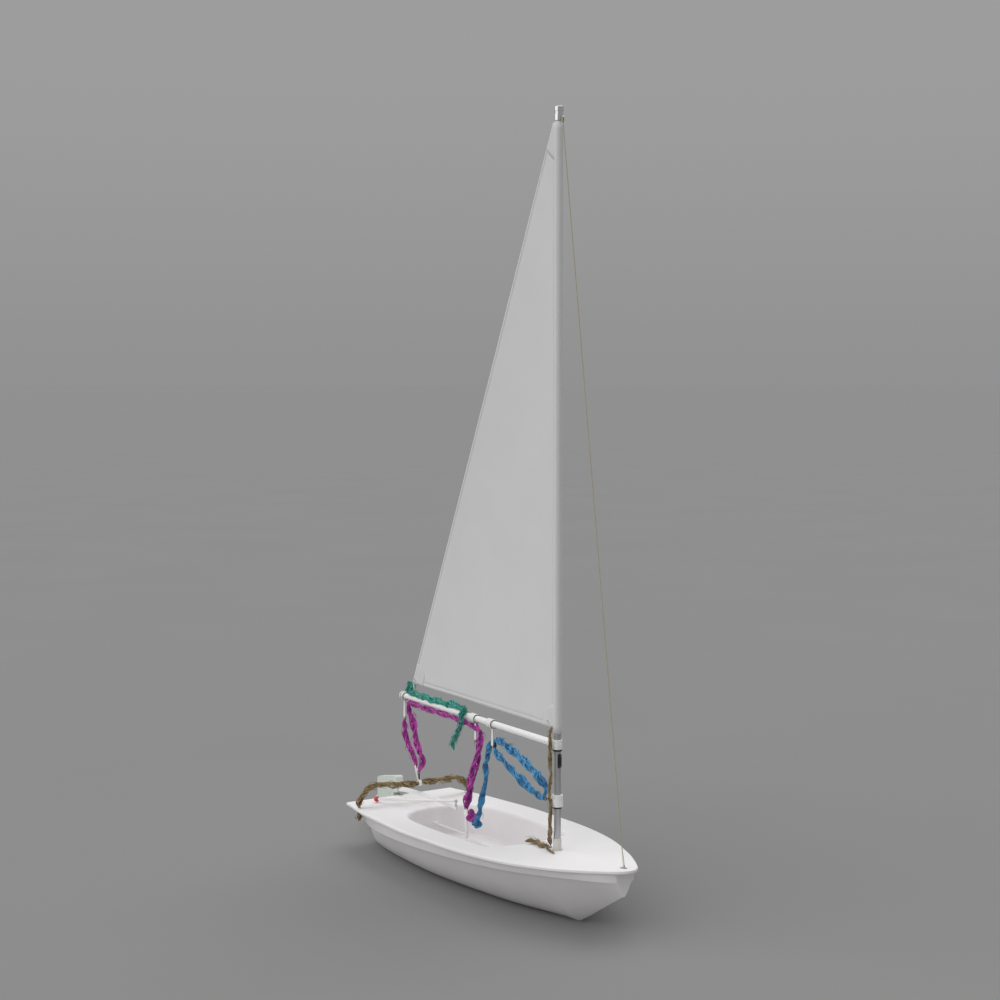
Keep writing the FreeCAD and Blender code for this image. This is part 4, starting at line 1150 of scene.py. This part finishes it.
    def sail_lines(self) -> list[Piece]:
        """Ties the clew out along the boom and the tack down to the deck, and lets their tails lie.

        Returns:
            The outhaul, the knot in the clew, the downhaul, and their free ends.
        """
        outhaul = Rope("outhaul", TEAL_ROPE, [self.outhaul], width=0.08, lay=0.5, seed=13, stray=12)
        clew = Rope("clew_knot", TEAL_ROPE, [knot(*self.clew_knot)], width=0.048, seed=25)
        downhaul = Rope("downhaul", HEMP_ROPE, [self.downhaul], width=0.038, lay=0.3, seed=15, stray=24)
        return [
            outhaul.held("boom"),
            clew.held("boom"),
            downhaul.led(),
            *self.free_cord("outhaul_tail", TEAL_ROPE, self.outhaul_tail, 0.05, "boom", "hanging"),
            *self.free_cord("downhaul_tail", HEMP_ROPE, on_deck(self.downhaul_tail), 0.046, "hull", "loose"),
            *self.free_cord("downhaul_end", HEMP_ROPE, on_deck(self.downhaul_end), 0.018, "hull", "loose"),
        ]

    @staticmethod
    def free_cord(name: str, finish: Finish, route: Route, width: float, body: str, lay: str) -> list[Piece]:
        """Args:
            name: The piece's name.
            finish: What the rope is made of.
            route: Its control points, from where it leaves what holds it.
            width: The rope's width.
            body: The body that it hangs from or lies on.
            lay: How it lies; not used.

        Returns:
            The rope's free end and the fibres that have sprung from it.
        """
        seed = len(name)
        piece = Rope(name, finish, [route], width, lay=0.2, looseness=0.4, seed=seed).held(body)
        frayed = Rope(name + "_fray", finish, [route], width, plies=0, fray=1.2, seed=seed, stray=180)
        fringe = frayed.held(body)
        middle = smooth_line(route)
        return [piece, fringe]

    def traveller_rope(self) -> list[Piece]:
        """Leads the traveller across the stern deck and through a bush on each side.

        Returns:
            The rope and the knots under its bushes.
        """
        waists = self.traveller_waists
        rope = Rope("traveller", HEMP_ROPE, [self.traveller], width=0.07, seed=19, stray=50, waists=waists)
        ends = [knot(*place) for place in self.traveller_knots]
        knots = Rope("traveller_knots", HEMP_ROPE, ends, width=0.026, seed=27, stray=30)
        return [rope.held("hull"), knots.held("hull")]


@dataclass
class SmallFittings:
    """Hooks, rings, pulleys and screws that hold the ropes and the plates."""

    nodes: dict[str, Piece]
    ring_radius: float = 0.036
    ring_wire: float = 0.0025
    ring_ahead: float = 0.0165
    ring_drop: float = 0.0045
    hook_radius: float = 0.015
    hook_wire: float = 0.0038
    pulley_radius: float = 0.021
    pulley_width: float = 0.014
    pulley_ahead: float = 0.030
    pulley_above: float = 0.014
    # The pulley's side from its hub to its groove, in shares of its radius and of half its width
    pulley_side: tuple[Pair, ...] = ((0.0, 1.3), (0.35, 1.3), (0.35, 1.0), (1.0, 1.0), (1.0, 0.6))
    pulley_groove: float = 0.7
    pulley_hook_radius: float = 0.012
    pulley_hook_wire: float = 0.00342
    pulley_hook_deg: float = 300.0
    pulley_hook_off: Point = (-0.016, 0.0, -0.026)
    # How far a hook hangs below a hanging block, as a share of its radius, and how much of a circle it is
    hanger_hook_drop: float = 0.4
    hanger_hook_deg: float = 320.0
    # Where the vang's link starts, in from the collar's back and below its middle, and how far it goes in
    collar_eye_in: float = 0.012
    collar_eye_drop: float = 0.010
    collar_link_in: float = 0.004
    collar_link_lean: Point = (0.98, 0.0, 0.2)
    collar_hook_radius: float = 0.014
    collar_hook_drop: float = 0.012
    # A link's length, width and thickness, and how much of a circle an open hook is
    collar_link: Point = (0.062, 0.016, 0.006)
    traveller_link: Point = (0.070, 0.014, 0.005)
    traveller_link_at: Point = (-2.346, 0.0, 0.690)
    traveller_link_lean: Point = (-0.1, 0.0, 1.0)
    open_hook_deg: float = 330.0
    # The radius and the middle of each hook on the traveller block and on the mainsheet's fall
    traveller_hooks: tuple[tuple[float, Point], ...] = (
        (0.017, (-2.402, 0.0, 0.745)), (0.016, (-2.350, 0.0, 0.702)), (0.018, (-1.474, 0.0, 0.556)),
    )
    strap_width: float = 0.034
    strap_thickness: float = 0.012
    strap_top: Point = (-2.404, 0.0, 0.762)
    strap_foot: Point = (-2.338, 0.0, 0.622)
    bead_at: Point = (-2.334, 0.0, 0.604)
    bead_outline: tuple[Pair, ...] = (
        (0.02, -0.017), (0.025, -0.015), (0.028, -0.007), (0.028, 0.007), (0.025, 0.015), (0.02, 0.017),
        (0.018, 0.009), (0.018, -0.009), (0.02, -0.017),
    )
    pad_margin: float = 0.005
    pad_width: float = 0.036
    pad_thickness: float = 0.007
    screw_radius: float = 0.0045
    screw_sink: float = 0.0003

    def build(self) -> list[Piece]:
        """Makes every small fitting and rides it on its body.

        Returns:
            The fittings.
        """
        return [
            self.hanger_rings(),
            self.hanger_hooks(),
            self.vang_pulley(),
            self.collar_hook(),
            self.traveller_strap(),
            self.traveller_hook(),
            self.traveller_bead(),
            self.cleat_pad(),
            self.screws("hull_screws", "hull", self.hull_screws()),
            self.screws("boom_screws", "boom", self.boom_screws()),
            self.screws("rudder_bolts", "rudder", self.rudder_bolts()),
        ]

    @staticmethod
    def middle_of(node: str) -> Point:
        """Gives the middle of a CAD node."""
        low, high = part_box(node)
        return tuple((a + b) / 2 for a, b in zip(low, high))

    def hanger_rings(self) -> Piece:
        """Hangs a wire ring on the boom in front of each webbing band.

        Returns:
            The three rings.
        """
        rings = Fitting("hanger_rings", DARK_STEEL)
        for block in ("boom_block_aft", "boom_block_mid", "boom_block_vang"):
            middle = (self.middle_of(block)[0] + self.ring_ahead, 0.0, BOOM_HEIGHT - self.ring_drop)
            rings.add(bent_wire(self.ring_radius, self.ring_wire), facing(FORWARD, middle))
        return rings.build("boom")

    def hanger_hooks(self) -> Piece:
        """Hooks an open ring in the foot of each hanging block of the mainsheet.

        Returns:
            The two hooks.
        """
        hooks = Fitting("hanger_hooks", DARK_STEEL)
        for block in ("boom_block_aft", "boom_block_mid"):
            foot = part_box(block)[0][2]
            middle = (self.middle_of(block)[0], 0.0, foot - self.hook_radius * self.hanger_hook_drop)
            hook = bent_wire(self.hook_radius, self.hook_wire, self.hanger_hook_deg)
            hooks.add(hook, facing(PORT, middle))
        return hooks.build("boom")

    def vang_pulley(self) -> Piece:
        """Hangs the vang's dark pulley from the foremost block.

        Returns:
            The pulley with its hook.
        """
        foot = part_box("boom_block_vang")[0][2]
        pulley = Fitting("vang_pulley", DARK_STEEL)
        ahead = self.middle_of("boom_block_vang")[0] + self.pulley_ahead
        middle = Vector((ahead, 0.0, foot + self.pulley_above))
        half, rim = self.pulley_width / 2, self.pulley_radius
        near = [(rim * out, -half * up) for out, up in self.pulley_side]
        far = [(rim * out, half * up) for out, up in reversed(self.pulley_side)]
        wheel = turned([*near, (rim * self.pulley_groove, 0.0), *far], steps=28)
        pulley.add(wheel, facing(PORT, middle))
        hook = bent_wire(self.pulley_hook_radius, self.pulley_hook_wire, self.pulley_hook_deg)
        pulley.add(hook, facing(PORT, middle + Vector(self.pulley_hook_off)))
        return pulley.build("boom")

    def collar_hook(self) -> Piece:
        """Links the vang's lower end to the collar on the mast.

        Returns:
            The link and its hook.
        """
        hook = Fitting("collar_hook", DARK_STEEL)
        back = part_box("vang_collar")[0][0]
        height = self.middle_of("vang_collar")[2]
        eye = Vector((back + self.collar_eye_in, 0.0, height - self.collar_eye_drop))
        top = eye + FORWARD * self.collar_link_in
        hook.add(flat_link(*self.collar_link), facing(Vector(self.collar_link_lean), top))
        ring = eye + Vector((-self.collar_link[0], 0.0, -self.collar_hook_drop))
        wire = bent_wire(self.collar_hook_radius, self.hook_wire, self.open_hook_deg)
        hook.add(wire, facing(PORT, ring))
        return hook.build("boom")

    def traveller_strap(self) -> Piece:
        """Hangs the traveller block's strap from the mainsheet.

        Returns:
            The strap.
        """
        strap = Fitting("traveller_strap", WHITE_ACETAL)
        top, foot = Vector(self.strap_top), Vector(self.strap_foot)
        link = flat_link((top - foot).length, self.strap_width, self.strap_thickness)
        strap.add(link, facing(top - foot, top))
        return strap.build("hull")

    def traveller_hook(self) -> Piece:
        """Hooks the mainsheet to the traveller block's strap, and its fall to the block in the cockpit.

        Returns:
            The hooks and their link.
        """
        hook = Fitting("traveller_hook", DARK_STEEL)
        for radius, middle in self.traveller_hooks:
            hook.add(bent_wire(radius, self.hook_wire, self.open_hook_deg), facing(PORT, middle))
        place = facing(Vector(self.traveller_link_lean), self.traveller_link_at)
        hook.add(flat_link(*self.traveller_link), place)
        return hook.build("hull")

    def traveller_bead(self) -> Piece:
        """Threads a moulded bead on the traveller rope.

        Returns:
            The bead.
        """
        bead = Fitting("traveller_bead", WHITE_ACETAL)
        bead.add(turned(self.bead_outline, steps=32), facing(PORT, self.bead_at))
        return bead.build("hull")

    def cleat_pad(self) -> Piece:
        """Backs the mast's cleat with a moulded pad.

        Returns:
            The pad.
        """
        low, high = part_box("mast_cleat")
        pad = Fitting("cleat_pad", BLACK_NYLON)
        place = Matrix.Translation((low[0] + self.pad_thickness / 2, 0.0, high[2] + self.pad_margin))
        turn = Matrix.Rotation(math.pi / 2, 4, "Z")
        tall = high[2] - low[2] + 2 * self.pad_margin
        pad.add(flat_link(tall, self.pad_width, self.pad_thickness), place @ turn)
        return pad.build("hull")

    def screws(self, name: str, body: str, places: Screws) -> Piece:
        """Sets pan-head screws on the surfaces that they hold.

        Args:
            name: The name of the piece that joins them.
            body: The body that they ride on.
            places: For each, the node that it is in, a point off its surface, the way in, and how
                large it is.

        Returns:
            The joined screws.
        """
        heads = Fitting(name, STEEL)
        for node, start, way, size in places:
            shape = bmesh.new()
            shape.from_mesh(self.nodes[node].data)
            touched, normal, _, _ = BVHTree.FromBMesh(shape).ray_cast(Vector(start), Vector(way))
            shape.free()
            if touched is None:
                LOG.warning("no surface for a screw of %s at %s", node, start)
                continue
            seat = touched - normal * self.screw_sink
            heads.add(screw_head(self.screw_radius * size), facing(normal, seat))
        return heads.build(body)

    @staticmethod
    def hull_screws() -> Screws:
        """Lists the screws in the deck's and the mast's fittings.

        Returns:
            For each, its node, a point off it, the way in, and its size.
        """
        down, port, aft = (0.0, 0.0, -1.0), (0.0, 1.0, 0.0), (-1.0, 0.0, 0.0)
        places = [("bow_plate", (along, 0.0, 0.7), down, 0.9) for along in (0.903, 0.961)]
        places += [("vang_collar", (0.02, -0.2, height), port, 1.0) for height in (0.895, 0.955)]
        for side in (-1.0, 1.0):
            places += [("gudgeon_top", (-2.722, side * 0.014, 0.43), down, 0.7)]
            places += [("mast_collar", (side * 0.039, 0.0, 0.7), down, 0.7)]
            places += [("mast_collar", (0.0, side * 0.039, 0.7), down, 0.7)]
        places += [("mast_cleat", (0.2, 0.0, height), aft, 0.8) for height in (1.216, 1.306)]
        return places

    @staticmethod
    def boom_screws() -> Screws:
        """Lists the screws in the boom's fittings.

        Returns:
            For each, its node, a point off it, the way in, and its size.
        """
        port = (0.0, 1.0, 0.0)
        places = [("gooseneck_collar", (0.012, -0.2, height), port, 1.0) for height in (1.374, 1.418)]
        ends = (("boom_end_cap", -2.665), ("boom", -2.630), ("boom", -0.150))
        return places + [(node, (along, -0.2, BOOM_HEIGHT), port, 0.8) for node, along in ends]

    @staticmethod
    def rudder_bolts() -> Screws:
        """Lists the bolts through the rudder stock's cheeks, as hull_screws lists its own."""
        spots = ((-2.83, 0.52), (-2.86, 0.40), (-2.90, 0.30))
        return [("rudder_stock", (along, -0.3, height), (0.0, 1.0, 0.0), 1.3) for along, height in spots]


@dataclass
class Studio:
    """Floor, backdrop, lamps and camera."""

    floor_size: float = 4000.0
    lens_mm: float = 61.2
    sensor_mm: float = 36.0
    camera_at: Point = (11.54, -7.78, 4.365)
    heading: Point = (-0.8478, 0.5303, 0.0)
    pitch_deg: float = 3.87
    sky: float = 0.425
    far_grey: str = "#8F8F8F"
    high_grey: str = "#9D9D9D"
    # Between these heights of the view, the backdrop pales from the far grey to the high one
    fade: Pair = (-0.06, 0.2)
    # Each lamp's name, the direction to it, its strength and its spread in degrees
    suns: tuple[tuple[str, Point, float, float], ...] = (
        ("key_sun", (-0.15, 0.5, 1.2), 1.0, 50.0),
        ("fill_sun", (-0.25, -1.0, 0.75), 1.45, 90.0),
    )

    def build(self) -> None:
        """Lays the floor, hangs the lamps and sets the camera."""
        shape = bmesh.new()
        bmesh.ops.create_grid(shape, x_segments=8, y_segments=8, size=self.floor_size / 2)
        show("studio_floor", closed(shape), STUDIO_GREY)
        for sun in self.suns:
            self.hang(*sun)
        self.backdrop()
        self.look()
        bpy.context.scene.view_settings.view_transform = "Standard"

    @staticmethod
    def hang(name: str, direction: Point, strength: float, spread_deg: float) -> None:
        """Hangs one broad lamp.

        Args:
            name: The lamp's name.
            direction: Points from the object to the lamp.
            strength: Its strength.
            spread_deg: How wide it is in the sky.
        """
        sun = bpy.data.lights.new(name, "SUN")
        sun.energy = strength
        sun.angle = math.radians(spread_deg)
        lamp = bpy.data.objects.new(name, sun)
        lamp.rotation_mode = "QUATERNION"
        lamp.rotation_quaternion = Vector(direction).to_track_quat("Z", "Y")
        bpy.context.scene.collection.objects.link(lamp)

    def backdrop(self) -> None:
        """Lights evenly from the sky, and shows the eye and bright metal a grey that pales upwards."""
        world = bpy.data.worlds.new("studio")
        world.use_nodes = True
        bpy.context.scene.world = world
        tree = world.node_tree
        tree.nodes.clear()
        way = add_node(tree, "ShaderNodeTexCoord").outputs["Generated"]
        height = add_node(tree, "ShaderNodeSeparateXYZ", {0: way}).outputs["Z"]
        low, high = self.fade
        span = {"Value": height, "From Min": low, "From Max": high}
        rise = add_node(tree, "ShaderNodeMapRange", span, interpolation_type="SMOOTHSTEP")
        greys = {
            "Factor": rise.outputs["Result"],
            COLOUR_A: linear(self.far_grey),
            COLOUR_B: linear(self.high_grey),
        }
        grey = add_node(tree, "ShaderNodeMix", greys, data_type="RGBA").outputs[COLOUR_OUT]
        rays = add_node(tree, "ShaderNodeLightPath").outputs
        direct = {0: rays["Is Camera Ray"], 1: rays["Is Glossy Ray"]}
        seen = add_node(tree, "ShaderNodeMath", direct, operation="ADD").outputs["Value"]
        either = {0: seen, 1: rays["Is Transmission Ray"]}
        through = add_node(tree, "ShaderNodeMath", either, operation="ADD", use_clamp=True)
        sky = add_node(tree, "ShaderNodeBackground", {"Color": linear("#FFFFFF"), "Strength": self.sky})
        shown = add_node(tree, "ShaderNodeBackground", {"Color": grey, "Strength": 1.0})
        lights = {
            0: through.outputs["Value"],
            1: sky.outputs["Background"],
            2: shown.outputs["Background"],
        }
        mixed = add_node(tree, "ShaderNodeMixShader", lights)
        add_node(tree, "ShaderNodeOutputWorld", {"Surface": mixed.outputs["Shader"]})

    def look(self) -> None:
        """Sets the camera at the photograph's place."""
        data = bpy.data.cameras.new("camera")
        data.lens = self.lens_mm
        data.sensor_width = self.sensor_mm
        data.clip_end = self.floor_size * 1.5
        camera = bpy.data.objects.new("camera", data)
        tilt = math.radians(self.pitch_deg)
        aim = Vector(self.heading).normalized() * math.cos(tilt) - UP * math.sin(tilt)
        camera.location = self.camera_at
        camera.rotation_mode = "QUATERNION"
        camera.rotation_quaternion = aim.to_track_quat("-Z", "Y")
        bpy.context.scene.collection.objects.link(camera)
        bpy.context.scene.camera = camera


def dress_frame(frame: dict) -> None:
    """Gives every node of the frame the finish of its slot in the record, or its own.
    """
    slots = {part["node"]: part["material_slot"] for part in frame["record"]["subparts"]}
    for name, node in frame["nodes"].items():
        FINISH_OF_NODE.get(name, FINISH_OF_SLOT[slots[name]]).dress(node)


def main() -> None:
    """Builds the classes in order."""
    logging.basicConfig(level=logging.INFO, format="%(message)s")
    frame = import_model()
    dress_frame(frame)
    Studio().build()
    pieces = [*Sail().build(), *RunningRigging().build(), *SmallFittings(frame["nodes"]).build()]
    for piece in pieces:
        LOG.info("%s: %d faces", piece.name, len(piece.data.polygons))


if __name__ == "__main__":
    main()
